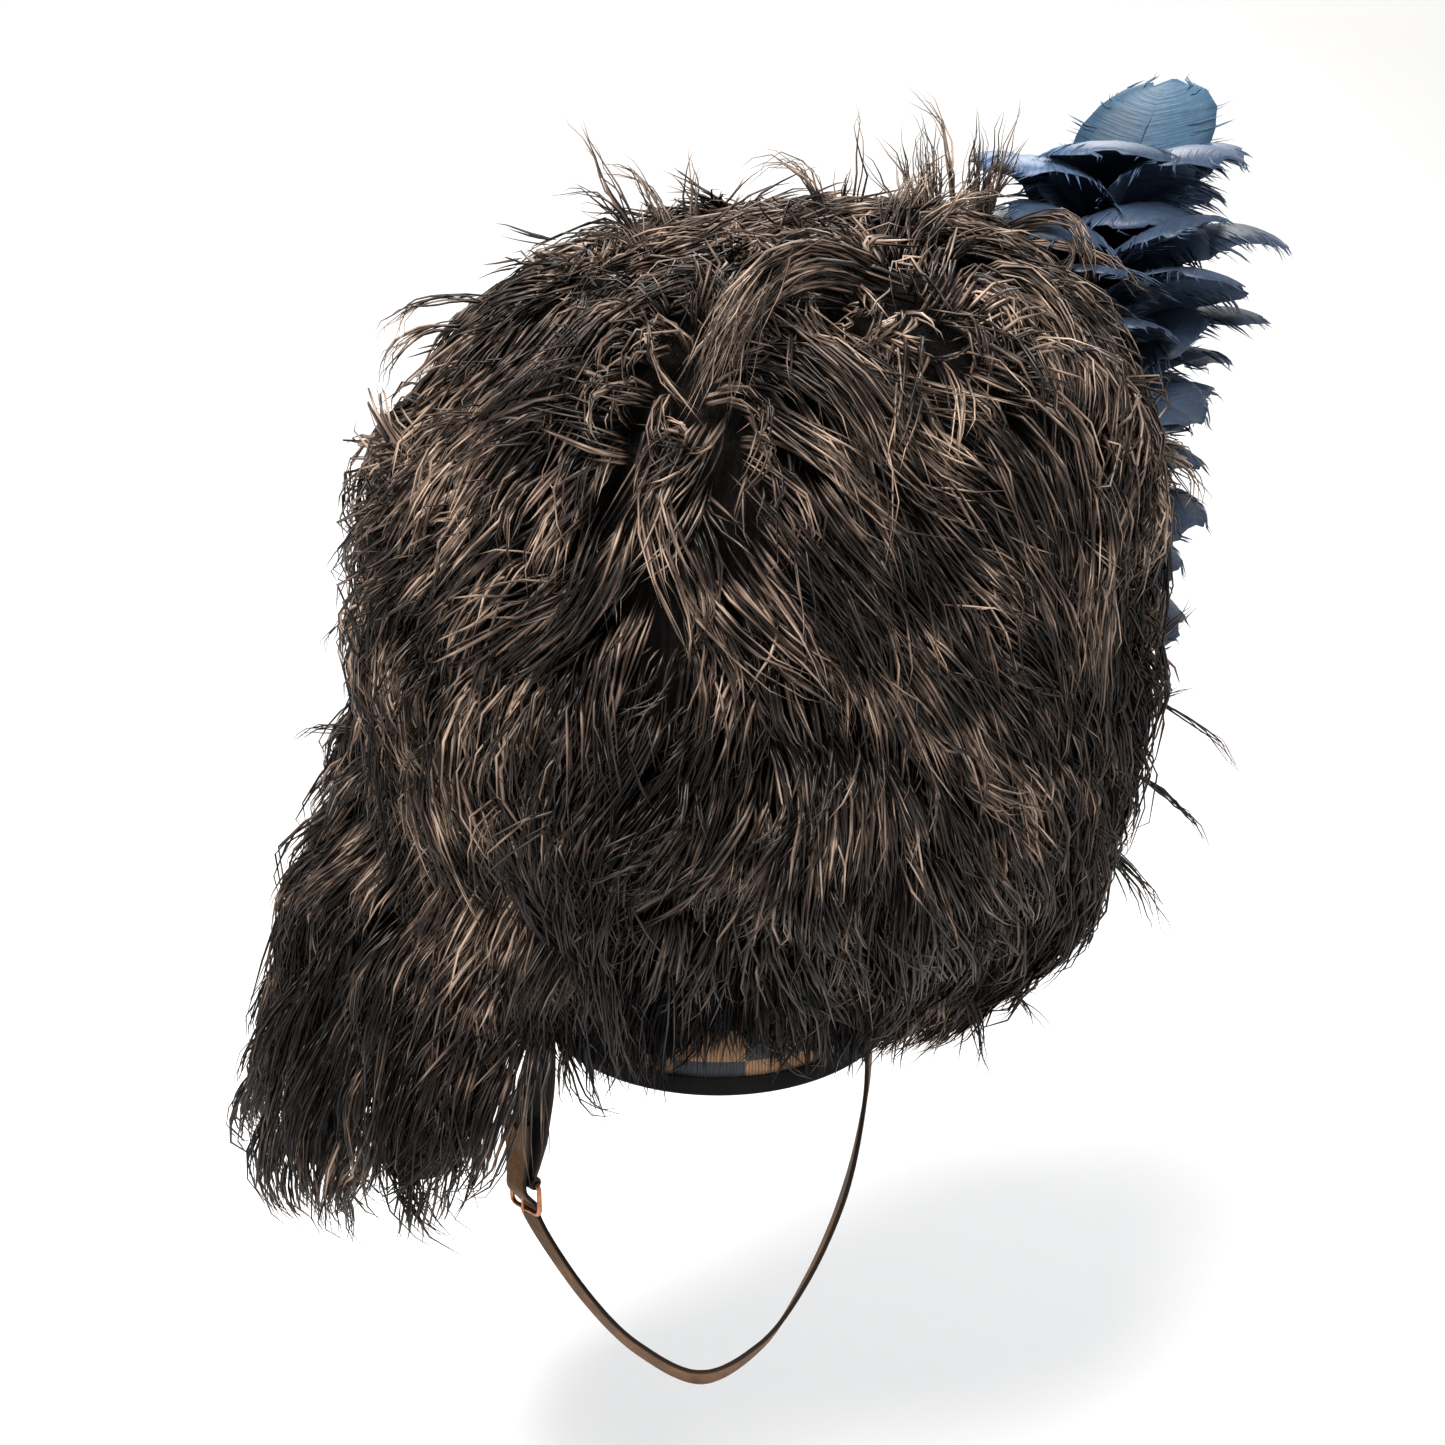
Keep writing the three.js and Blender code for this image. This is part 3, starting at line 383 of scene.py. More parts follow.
# the soft body under the barbs: down beside the crown, out under the hem, and up a little below the skin
def makeDown():
    material, tree, shader = newMaterial("plumeDown", down["roughness"], Specular_IOR_Level=0.1)
    stretched = addNode(tree, "ShaderNodeMapping", in_Vector=objectPlace(tree), in_Scale=(520, 520, 30))
    streaks = addNoise(tree, stretched, 1.0, 4.0, 0.65)
    colour = addRamp(tree, streaks, [(0.45, (0.0018, 0.0015, 0.0014)), (0.8, (0.0105, 0.0072, 0.0056))])
    setInputs(tree, shader, {"Base Color": colour, "Normal": addBump(tree, streaks, 1.0, 0.004)})
    count = down["around"]
    turns = turnsRound(count)
    hem = form["hemSide"] + 0.012 + 0.022 * np.clip(-np.sin(turns), 0, 1) ** 2
    rings = [crownRound(form["crownHeight"] * share, down["inside"], count, 0.001)
             for share in (0.995, 0.97, 0.93, 0.88, 0.8, 0.6, 0.34, 0.16)]
    foot = crownRound(down["footHeight"], down["footOut"], count)
    foot[:, 2] = hem
    rings.append(foot)
    for up in np.concatenate([np.linspace(-0.42, 0.9, 13), [1.1, 1.3, 1.44, 1.53]]):
        skin = skinAlong(np.stack([math.cos(up) * np.cos(turns), math.cos(up) * np.sin(turns),
                                   np.full(count, math.sin(up))], 1))
        ring = skin - skinNormal(skin)[0] * down["depth"]
        low = np.clip((0.075 - ring[:, 2]) / 0.06, 0, 1)
        ring[:, :2] = bonnetMiddle[:2] + (ring[:, :2] - bonnetMiddle[:2]) * (1 - 0.14 * low)[:, None]
        ring[:, 2] = np.maximum(ring[:, 2], hem + 0.004)
        rings.append(ring)
    return shell("plumeDown", rings, material)


# barbs are the tree's numbers: how many, points, width, flatness, waviness, wave size, shortest share, seed
plumes = {
    "locks": 1250, "whorlLocks": 28, "hemLocks": 250, "strays": 480, "flyaways": 115, "steps": 9, "lift": 0.013,
    "rootDepth": 0.011, "lockWidth": 0.0082, "lockDepth": 0.0045, "curl": 0.75, "tufts": 0.27, "draw": 0.55,
    "flare": 0.012, "ragged": 0.006, "pointed": 0.6, "highFrom": 0.58, "lowTo": 0.27,
    "barbs": (13, 5, 0.0027, 0.5, 0.016, 30.0, 0.5, 3), "strayBarbs": (4, 5, 0.0024, 0.5, 0.028, 34.0, 0.5, 4),
    "flyBarbs": (3, 6, 0.0021, 0.5, 0.022, 22.0, 0.7, 6), "wispBarbs": (3, 9, 0.0019, 0.5, 0.022, 45.0, 0.82, 12),
}
# where plumes spring from and spread all ways before they fall: place, reach, strength
whorls = [
    ((-0.012, -0.128, 0.318), 0.055, 1.25), ((0.073, -0.095, 0.338), 0.050, 1.2),
    ((-0.125, -0.060, 0.265), 0.05, 0.8), ((0.160, -0.045, 0.265), 0.05, 0.8), ((-0.040, 0.125, 0.315), 0.07, 1.1),
    ((0.100, 0.110, 0.300), 0.06, 0.9), ((-0.140, 0.055, 0.250), 0.06, 0.9), ((-0.060, -0.030, 0.355), 0.05, 1.0),
    ((0.020, 0.060, 0.360), 0.05, 0.9)]
# dark hollows between plumes: place and reach
hollows = [
    ((-0.105, -0.120, 0.262), 0.019), ((-0.125, -0.110, 0.212), 0.017), ((0.066, -0.160, 0.200), 0.018),
    ((0.150, -0.090, 0.222), 0.020), ((0.092, -0.118, 0.330), 0.012), ((0.050, 0.165, 0.210), 0.018),
    ((-0.120, 0.130, 0.190), 0.018)]

rng = np.random.default_rng(11)
waveWays = unit(rng.normal(size=(10, 3))) * rng.uniform(16, 60, (10, 1))
wavePhase = rng.uniform(0, 2 * np.pi, 10)


# smooth noise from a few waves, the same at each run
def gentleNoise(p, shift=0.0):
    return np.sin(p @ waveWays.T + wavePhase + shift).sum(-1) / 3.2


# which way the plumes lie: down, outwards low at the sides, away from each whorl, and turned a little by noise
def combWay(p, normal):
    way = np.tile((0.0, 0.0, -1.0), (len(p), 1))
    low = p[:, 2] < 0.2
    way[:, 0] += np.where(low, 0.35 * np.sign(p[:, 0]) * np.clip(np.abs(p[:, 0]) / 0.16 - 0.35, 0, 1), 0)
    for centre, reach, strength in whorls:
        off = p - np.array(centre)
        near = np.exp(-(off ** 2).sum(1) / reach ** 2)
        way = way + strength * near[:, None] * unit(off)
    way = way + np.cross(normal, way) * (0.6 * gentleNoise(p))[:, None]
    way = way - normal * (way * normal).sum(1, keepdims=True)
    return unit(way)


# even places all over the skin
def seedSkin(count, jitter, keepHollows):
    k = np.arange(count * 2) + 0.5
    up = 1 - 2 * k / (count * 2)
    turn = np.pi * (1 + 5 ** 0.5) * k
    ways = np.stack([np.sqrt(1 - up ** 2) * np.cos(turn), np.sqrt(1 - up ** 2) * np.sin(turn), up], 1)
    ways = unit(ways + rng.normal(scale=jitter, size=ways.shape))
    seeds = skinAlong(ways)
    keep = seeds[:, 2] > form["hemSide"] + 0.02 + (form["hemFront"] + 0.012) * np.clip(-ways[:, 1], 0, 1) ** 2
    if keepHollows:
        for place, reach in hollows:
            keep &= ((seeds - np.array(place)) ** 2).sum(1) > reach ** 2
    return ontoSkin(seeds[keep])


brow = {"height": 0.0115, "lift": 0.0085, "shown": ((0.022, 0.020, 1.0), (0.066, 0.008, 0.7)), "coveredFrom": -0.004,
        "coveredBy": 0.010, "sideDrop": 0.012}


# where plumes end over the brow: higher where the band shows
def browHem(p, normal):
    x = p[..., 0]
    showing = sum(share * np.exp(-((x - place) / reach) ** 2) for place, reach, share in brow["shown"])
    front = np.clip(-normal[..., 1], 0, 1) ** 2
    covered = brow["coveredBy"] * np.clip((brow["coveredFrom"] - x) / 0.02, 0, 1)
    return front * (brow["height"] + brow["lift"] * showing - covered) - brow["sideDrop"] * (1 - front)


# paths over the skin along the combed way, with a stray and a curl each
def walkSkin(p, normal, length, stray, steps):
    surface, normals, ways = [p], [normal], []
    curl = rng.normal(scale=plumes["curl"], size=len(p)) * np.clip(0.12 + p[:, 2] / 0.30, 0.12, 1.2)
    for step in range(steps):
        way = combWay(p, normal)
        turn = stray * (1 - 0.5 * step / steps) + curl * (step / steps) ** 2
        way = unit(way + np.cross(normal, way) * turn[:, None])
        ways.append(way)
        if step < steps - 1:
            p, normal = ontoSkin(p + way * (length / (steps - 1))[:, None])
            surface.append(p)
            normals.append(normal)
    return tuple(np.stack(a, 1) for a in (surface, normals, ways))


# a guide that would hang below its hem is drawn up to end there
def endAtHem(guides, hem):
    steps = guides.shape[1]
    for k in np.nonzero((guides[:, -1, 2] < hem))[0]:
        z = guides[k, :, 2]
        below = np.nonzero(z < hem[k])[0]
        if not len(below) or below[0] == 0:
            guides[k, :, 2] += max(0.0, hem[k] - z.min())
            continue
        last = below[0] - 1
        share = (last + (z[last] - hem[k]) / (z[last] - z[below[0]] + 1e-9)) / (steps - 1)
        at = np.linspace(0, share, steps) * (steps - 1)
        guides[k] = np.stack([np.interp(at, np.arange(steps), guides[k, :, axis]) for axis in range(3)], 1)
    return guides


# locks draw towards a leader near them, so that they end in tufts
def drawTogether(guides, roots, draw):
    leaders = rng.permutation(len(roots))[:max(1, int(len(roots) * plumes["tufts"]))]
    apart = ((roots[:, None] - roots[None, leaders]) ** 2).sum(-1)
    lead = leaders[apart.argmin(1)]
    pull = draw * np.linspace(0, 1, guides.shape[1])[None, :, None] ** 1.5
    return guides * (1 - pull) + guides[lead] * pull


# locks from seeds: they rise off the skin, bow, flare at the tip in a few places and end at the hem
def combLocks(seeds, lengths, liftShare, strayScale, spread, flareShare):
    p, normal = seeds
    n, steps = len(p), plumes["steps"]
    length = rng.uniform(*lengths, n)
    calm = 1 - 0.45 * np.clip(normal[:, 2], 0, 1)  # plumes lie flatter on the top
    lift = plumes["lift"] * rng.uniform(*liftShare, n) * np.clip(1 + 0.9 * gentleNoise(p, 2.0), 0.1, 2.2) * calm
    surface, normals, ways = walkSkin(p, normal, length, rng.normal(scale=strayScale, size=n), steps)
    t = np.linspace(0, 1, steps)
    flare = np.where(rng.random(n) < flareShare, rng.uniform(0.4, 1.7, n), rng.uniform(-0.4, 0.2, n))
    rise = -plumes["rootDepth"] * (1 - t) ** 2 + lift[:, None] * np.sin(np.pi * t ** 0.75) ** 0.8 \
        + (flare * plumes["flare"])[:, None] * t ** 2.5
    guides = drawTogether(surface + normals * rise[..., None], surface[:, 0], plumes["draw"])
    hem = browHem(surface[:, -1], normals[:, -1]) + plumes["ragged"] * (rng.random(n) - 0.4)
    guides = endAtHem(guides, hem)
    pointed = rng.random(n)[:, None] < plumes["pointed"]
    widen = np.where(pointed, 0.5 + 0.8 * np.sin(np.pi * t ** 0.8) - 0.28 * t, 0.5 + 1.1 * t)
    width = plumes["lockWidth"] * spread * widen * rng.uniform(0.7, 1.3, (n, 1))
    outward = normals * (plumes["lockDepth"] * (0.6 + 0.8 * t))[None, :, None]
    return guides, np.cross(normals, ways) * width[..., None], outward, surface[:, 0]


# seeds close round each whorl, so that its middle is covered
def seedWhorls():
    places = []
    for centre, *_ in whorls:
        for k in range(plumes["whorlLocks"]):
            turn, out = k * 2.4, 0.003 + 0.032 * (k / plumes["whorlLocks"]) ** 0.8
            places.append(np.array(centre) + out * np.array((math.cos(turn), 0.3 * math.sin(turn), math.sin(turn))))
    return ontoSkin(np.array(places))


# seeds a little above the hem, all round
def seedHem():
    count = plumes["hemLocks"]
    turn = (np.arange(count) + 0.5 * rng.random(count)) / count * 2 * np.pi
    z = rng.uniform(0.034, 0.085, count)
    cx, cy, rx, ry = plumeSize(z)
    return ontoSkin(np.stack([cx + rx * np.cos(turn), cy + ry * np.sin(turn), z], 1))


# single barbs that stand off the outline
def makeFlyaways():
    p, normal = seedSkin(plumes["flyaways"], 0.08, False)
    n, steps = len(p), plumes["steps"]
    t = np.linspace(0, 1, steps)[None, :, None]
    way = combWay(p, normal)
    way = unit(way + np.cross(normal, way) * rng.normal(scale=0.9, size=n)[:, None])
    high = np.clip((p[:, 2] - 0.28) / 0.08, 0, 1)
    length = rng.uniform(0.022, 0.042, n)
    stand = rng.uniform(0.15, 0.6, n)
    droop = np.array((0, 0, -1.0))
    bow = way[:, None] * t + normal[:, None] * (stand[:, None, None] * t ** 1.3 + 0.06) \
        + droop * (0.35 - 0.3 * high)[:, None, None] * t ** 2.2
    guides = p[:, None] + length[:, None, None] * bow
    across = np.tile((np.cross(normal, way) * 0.004)[:, None], (1, steps, 1))
    outward = np.tile((normal * 0.003)[:, None], (1, steps, 1))
    return endAtHem(guides, browHem(guides[:, -1], normal) - 0.002), across, outward


# wisps that stand out one by one: start, bow and end as places in the picture, y at both ends, spread, copies
wisps = [
    (650, 262, 600, 160, 562, 102, -0.03, -0.02, 0.001, 2), (652, 265, 610, 176, 553, 187, -0.03, -0.03, 0.0014, 2),
    (675, 262, 650, 165, 618, 168, -0.02, -0.01, 0.003, 4), (700, 258, 694, 180, 684, 154, -0.01, 0.0, 0.002, 3),
    (838, 262, 806, 108, 752, 186, -0.02, -0.02, 0.002, 4), (848, 258, 868, 150, 855, 88, 0.0, 0.0, 0.0008, 1),
    (842, 258, 836, 172, 851, 148, 0.0, 0.0, 0.0014, 2), (950, 250, 962, 90, 892, 92, 0.0, 0.01, 0.0012, 2),
    (956, 250, 978, 130, 960, 97, 0.0, 0.0, 0.0012, 1), (945, 250, 915, 160, 928, 128, -0.01, -0.01, 0.0024, 4),
    (962, 250, 975, 150, 989, 118, 0.0, 0.01, 0.0024, 3), (985, 245, 1000, 140, 1025, 102, 0.01, 0.01, 0.0018, 2),
    (975, 255, 985, 170, 1003, 142, 0.01, 0.01, 0.003, 5), (915, 265, 905, 180, 940, 160, -0.02, 0.0, 0.004, 7),
    (940, 255, 950, 150, 905, 118, 0.0, 0.0, 0.004, 5), (955, 255, 1000, 190, 1012, 128, 0.01, 0.01, 0.004, 6),
    (930, 260, 900, 190, 885, 150, -0.01, 0.0, 0.004, 5), (872, 268, 768, 178, 702, 420, -0.085, -0.15, 0.0034, 24),
    (868, 285, 800, 240, 716, 350, -0.095, -0.135, 0.003, 10),
    (905, 268, 925, 195, 990, 215, -0.05, -0.02, 0.0045, 12), (895, 275, 880, 195, 930, 180, -0.05, -0.01, 0.0045, 12),
    (880, 285, 850, 215, 800, 225, -0.06, -0.04, 0.0045, 10), (660, 300, 640, 225, 600, 235, -0.05, -0.02, 0.0045, 10),
    (1000, 235, 1095, 180, 1089, 296, 0.0, -0.02, 0.0024, 6),
    (1060, 240, 1090, 255, 1049, 284, -0.01, -0.02, 0.0014, 3),
    (1030, 240, 1110, 240, 1154, 297, 0.0, -0.01, 0.0014, 3), (1140, 440, 1235, 482, 1182, 523, 0.01, 0.01, 0.0008, 2),
    (1115, 655, 1178, 640, 1192, 598, -0.01, 0.0, 0.001, 2), (1110, 695, 1215, 700, 1243, 796, -0.01, -0.01, 0.001, 2),
    (1110, 765, 1188, 790, 1208, 860, -0.01, -0.01, 0.0014, 2),
    (1085, 835, 1150, 868, 1158, 936, -0.02, -0.02, 0.0018, 4), (1115, 705, 1170, 690, 1198, 690, 0.0, 0.0, 0.0012, 2),
    (460, 330, 384, 325, 378, 402, -0.02, -0.02, 0.0014, 3), (490, 300, 402, 280, 381, 346, -0.02, -0.02, 0.0016, 3),
    (400, 590, 332, 608, 321, 663, -0.02, -0.02, 0.0012, 2), (395, 740, 330, 715, 292, 746, -0.03, -0.03, 0.0012, 2),
    (400, 500, 340, 520, 347, 576, -0.02, -0.02, 0.0012, 3), (345, 870, 275, 905, 281, 976, -0.04, -0.04, 0.001, 2),
    (310, 1015, 240, 1030, 238, 1096, -0.05, -0.05, 0.0012, 2),
    (560, 1030, 596, 1166, 633, 1090, -0.117, -0.124, 0.0005, 1),
    (585, 1035, 598, 1140, 613, 1112, -0.119, -0.126, 0.0006, 2),
    (572, 1030, 556, 1085, 566, 1108, -0.117, -0.124, 0.001, 2),
    (965, 985, 990, 1040, 980, 1078, -0.08, -0.09, 0.0014, 3),
    (990, 965, 1034, 1010, 1044, 1034, -0.07, -0.07, 0.0016, 3),
    (340, 1160, 350, 1225, 356, 1262, -0.05, -0.05, 0.001, 2)]


def makeWisps():
    dice = np.random.default_rng(19)
    t = np.linspace(-0.08, 1, 13)[:, None]
    guides = []
    for x0, y0, x1, y1, x2, y2, near, far, spread, copies in wisps:
        start, bow, end = seenAt(x0, y0, near), seenAt(x1, y1, (near + far) / 2), seenAt(x2, y2, far)
        for _ in range(copies):
            a, b, c = (q + dice.normal(size=3) * spread * grow for q, grow in ((start, 0.8), (bow, 1.2), (end, 2.0)))
            guides.append(a * (1 - t) ** 2 + 2 * b * t * (1 - t) + c * t ** 2)
    guides = np.array(guides)
    sideways = unit(np.gradient(guides, axis=1))[..., [2, 1, 0]] * (-1, 0, 1)
    return guides, sideways * 0.0012, sideways[..., [1, 0, 2]] * 0.0008


def makePlumes():
    made = {}

    def lay(name, locks, kind, material=plumeBarbs, chosen=slice(None)):
        made[name] = layBarbs(name, *(part[chosen] for part in locks[:3]), kind, material)

    locks = combLocks(seedSkin(plumes["locks"], 0.03, True), (0.060, 0.115), (0.3, 1.2), 0.30, 1.05, 0.12)
    roots, kind, height = locks[3], plumes["barbs"], form["plumeHeight"]
    high, low = roots[:, 2] > plumes["highFrom"] * height, roots[:, 2] <= plumes["lowTo"] * height
    front = roots[:, 1] < 0
    for name, chosen in (("topFrontBarbs", high & front), ("topBackBarbs", high & ~front),
                         ("middleFrontBarbs", ~high & ~low & front), ("middleBackBarbs", ~high & ~low & ~front)):
        lay(name, locks, kind, chosen=chosen)
    lay("lowerBarbs", locks, kind, fringeBarbs, low)
    lay("whorlBarbs", combLocks(seedWhorls(), (0.035, 0.065), (0.5, 1.2), 1.3, 0.9, 0.25), (10, *kind[1:]))
    lay("hemBarbs", combLocks(seedHem(), (0.06, 0.10), (0.1, 0.8), 0.14, 0.9, 0.12), (11, *kind[1:]), fringeBarbs)
    strays = seedSkin(plumes["strays"], 0.06, False)
    lay("strayBarbs", combLocks(strays, (0.035, 0.075), (0.9, 1.6), 0.7, 0.8, 0.3), plumes["strayBarbs"])
    lay("flyawayBarbs", makeFlyaways(), plumes["flyBarbs"])
    lay("wispBarbs", makeWisps(), plumes["wispBarbs"])
    return made


downPiece = makeDown()
plumePieces = makePlumes()
print("plumes laid")

tails = {
    "top": 0.104, "bottom": -0.088, "width": 0.066, "thickness": 0.052, "locks": 40, "steps": 8, "around": 20,
    "lockWidth": 0.0085, "barbs": (17, 5, 0.0024, 0.5, 0.018, 28.0, 0.5, 5),
    "rows": ((229, 0.034, 1.0), (202, 0.0, 1.0), (178, 0.004, 1.0), (154, 0.010, 0.94)),  # angle, shorter by, size
}
tailRows = np.array([  # drop, out, size
    (-0.5, 0.93, 0.3), (0.0, 0.88, 0.42), (0.25, 1.0, 0.86), (0.65, 1.14, 1.0), (0.9, 1.19, 0.92), (1.0, 1.19, 0.6),
    (1.1, 1.19, 0.42)])


def tailMiddle(angle, drop, bottom):
    out = readRows(tailRows, drop)[0]
    z = tails["top"] + (bottom - tails["top"]) * drop
    cx, cy, rx, ry = plumeSize(np.maximum(z, form["hemSide"] + tails["thickness"]))
    return np.stack([cx + rx * out * np.cos(angle), cy + ry * out * np.sin(angle), z], -1)


def acrossTail(away, guides, t, dice):
    width = tails["lockWidth"] * (1.1 - 0.5 * t ** 2) * dice.uniform(0.7, 1.3, (len(guides), 1))
    return np.cross(away, unit(np.gradient(guides, axis=1))) * width[..., None]


# a rippled core, and locks down and round it
def makeTail(index):
    degrees, shorter, size = tails["rows"][index]
    angle, bottom = math.radians(degrees), tails["bottom"] + shorter
    out = np.array((math.cos(angle), math.sin(angle), 0))
    side = np.array((-out[1], out[0], 0))
    dice = np.random.default_rng(40 + index)
    turns = turnsRound(tails["around"])
    drops = np.concatenate([np.linspace(0, 0.78, 10), [0.83, 0.86, 0.875]])
    blunt = np.concatenate([np.ones(10), [0.86, 0.55, 0.2]])
    rings = []
    for drop, share in zip(drops, blunt):
        full = readRows(tailRows, drop)[1] * size * 0.68 * share
        ripple = 1 + 0.09 * np.sin(turns * 5 + index) + 0.05 * np.sin(turns * 3 + 9 * drop)
        rings.append(tailMiddle(angle, drop, bottom)
                     + np.outer(np.cos(turns) * ripple, out) * tails["thickness"] / 2 * full
                     + np.outer(np.sin(turns) * ripple, side) * tails["width"] / 2 * full)
    core = shell(f"tailCore{index + 1}", rings, downPiece.data.materials[0], turned=True)
    count = tails["locks"]
    turn = np.arange(count) * np.pi * (3 - 5 ** 0.5) + dice.normal(scale=0.2, size=count)
    start = -0.42 + 1.2 * np.linspace(0, 1, count) ** 0.8 + dice.normal(scale=0.04, size=count)
    turn = np.where(start < 0, dice.uniform(-1.5, 1.5, count), turn)  # above the root only the outer side shows
    length = dice.uniform(0.26, 0.46, count)
    t = np.linspace(0, 1, tails["steps"])
    drop = start[:, None] + length[:, None] * t
    drop = np.minimum(drop, 1.0 + 0.09 * dice.random((count, 1)))
    full = readRows(tailRows, drop)[1] * size
    puff = 0.84 + 0.34 * np.sin(np.pi * t ** 0.8) * dice.uniform(0.3, 1.2, count)[:, None] \
        + (t ** 3) * dice.uniform(-0.35, 0.4, count)[:, None]
    spin = (turn[:, None] + dice.normal(scale=0.45, size=count)[:, None] * t)[..., None]
    radial = np.cos(spin) * out * tails["thickness"] / 2 + np.sin(spin) * side * tails["width"] / 2
    guides = tailMiddle(angle, drop, bottom) + radial * (full * puff)[..., None]
    away = unit(radial)
    return core, layBarbs(f"tailBarbs{index + 1}", guides, acrossTail(away, guides, t, dice), away * 0.004,
                          tails["barbs"], tailBarbs)


mane = {"locks": 340, "from": 142, "to": 250, "top": 0.225, "steps": 9,
        "barbs": (13, 5, 0.0024, 0.5, 0.018, 30.0, 0.5, 21)}
maneRows = np.array([  # angle, where the mane ends
    (140, -0.050), (154, -0.074), (178, -0.086), (202, -0.092), (216, -0.080), (229, -0.052), (240, -0.036),
    (246, -0.016), (250, -0.002)])


# long locks that fall from the flank over all four tails
def makeMane():
    dice = np.random.default_rng(31)
    count = mane["locks"]
    t = np.linspace(0, 1, mane["steps"])
    degrees = dice.uniform(mane["from"], mane["to"], count)
    degrees[3::5] = dice.uniform(226, 246, len(degrees[3::5]))  # fuller beside the leather piece
    end = readRows(maneRows, degrees)[0] + dice.uniform(-0.006, 0.014, count)
    begin = mane["top"] + (end + 0.045 - mane["top"]) * np.linspace(0, 1, count) ** 0.85
    length = dice.uniform(0.055, 0.095, count)
    z = np.maximum(begin[:, None] - length[:, None] * t, end[:, None] + 0.004 * (1 - t))
    angle = np.radians(degrees)[:, None] + dice.normal(scale=0.10, size=count)[:, None] * t ** 1.4 \
        + 0.05 * gentleNoise(np.stack([degrees / 60, begin, end], 1))[:, None] * t
    out, full = readRows(tailRows, (tails["top"] - z) / (tails["top"] - tails["bottom"]))
    cx, cy, rx, ry = plumeSize(np.maximum(z, form["hemSide"] + tails["thickness"]))
    lift = tails["thickness"] / 2 * full * dice.uniform(0.55, 1.15, count)[:, None] - 0.010 * (1 - t) ** 2 \
        + dice.uniform(0.0, 0.012, count)[:, None] * np.sin(np.pi * t) \
        + dice.uniform(-0.008, 0.006, count)[:, None] * t ** 3
    lift += 0.020 * np.exp(-((z - 0.098) / 0.05) ** 2) * np.exp(-((np.degrees(angle) - 190) / 34) ** 2) \
        * np.sin(np.pi * (0.12 + 0.8 * t))
    guides = np.stack([cx + (rx * out + lift) * np.cos(angle), cy + (ry * out + lift) * np.sin(angle), z], -1)
    guides = drawTogether(guides, guides[:, 0], 0.5)
    away = np.stack([np.cos(angle), np.sin(angle), 0 * angle], -1)
    return layBarbs("maneBarbs", guides, acrossTail(away, guides, t, dice), away * 0.0045, mane["barbs"], tailBarbs)


tailPieces = [makeTail(index) for index in range(4)]
manePiece = makeMane()
print("tails laid")

hackle = {
    "foot": (0.0858, 0.0577, 0.026), "lean": (0.094, -0.004, 0.318), "stemRadius": 0.0021, "feathers": 76,
    "lowest": 0.34, "length": 0.100, "width": 0.070, "camber": 0.3, "inner": 0.7, "rows": 14, "columns": 6,
    "barbsPerSide": 20, "steps": 6, "socketHeight": 0.034, "barbs": (2, 4, 0.0021, 0.35, 0.006, 40.0, 0.8, 9),
    "vaneLength": 0.96, "vaneHalf": 0.84, "thickness": 0.0003, "splits": (0.24, 0.06), "barbStart": 0.36,
    "barbAcross": 0.0012, "barbOut": 0.0006, "capUp": 82, "capDroop": 50, "capWidth": 0.074, "capLength": 0.086,
}
vaneRows = np.array([  # place along the feather, width
    (0.0, 0.05), (0.06, 0.2), (0.16, 0.55), (0.32, 0.88), (0.52, 1.0), (0.72, 1.0), (0.86, 0.86), (0.95, 0.58),
    (1.0, 0.2)])
crest = [  # heading, droop at the tip, length, width
    (-98, -30, 0.100, 0.084), (-48, -40, 0.106, 0.078), (4, -26, 0.100, 0.074), (-146, -36, 0.106, 0.076),
    (168, -20, 0.100, 0.070), (-72, -50, 0.088, 0.074), (24, -44, 0.098, 0.070)]


def stemPoint(share):
    return np.array(hackle["foot"]) + np.array(hackle["lean"]) * share


def heading(turn):
    return np.array((math.cos(turn), 0.9 * math.sin(turn), 0.0)), np.array((-math.sin(turn), math.cos(turn), 0.0))


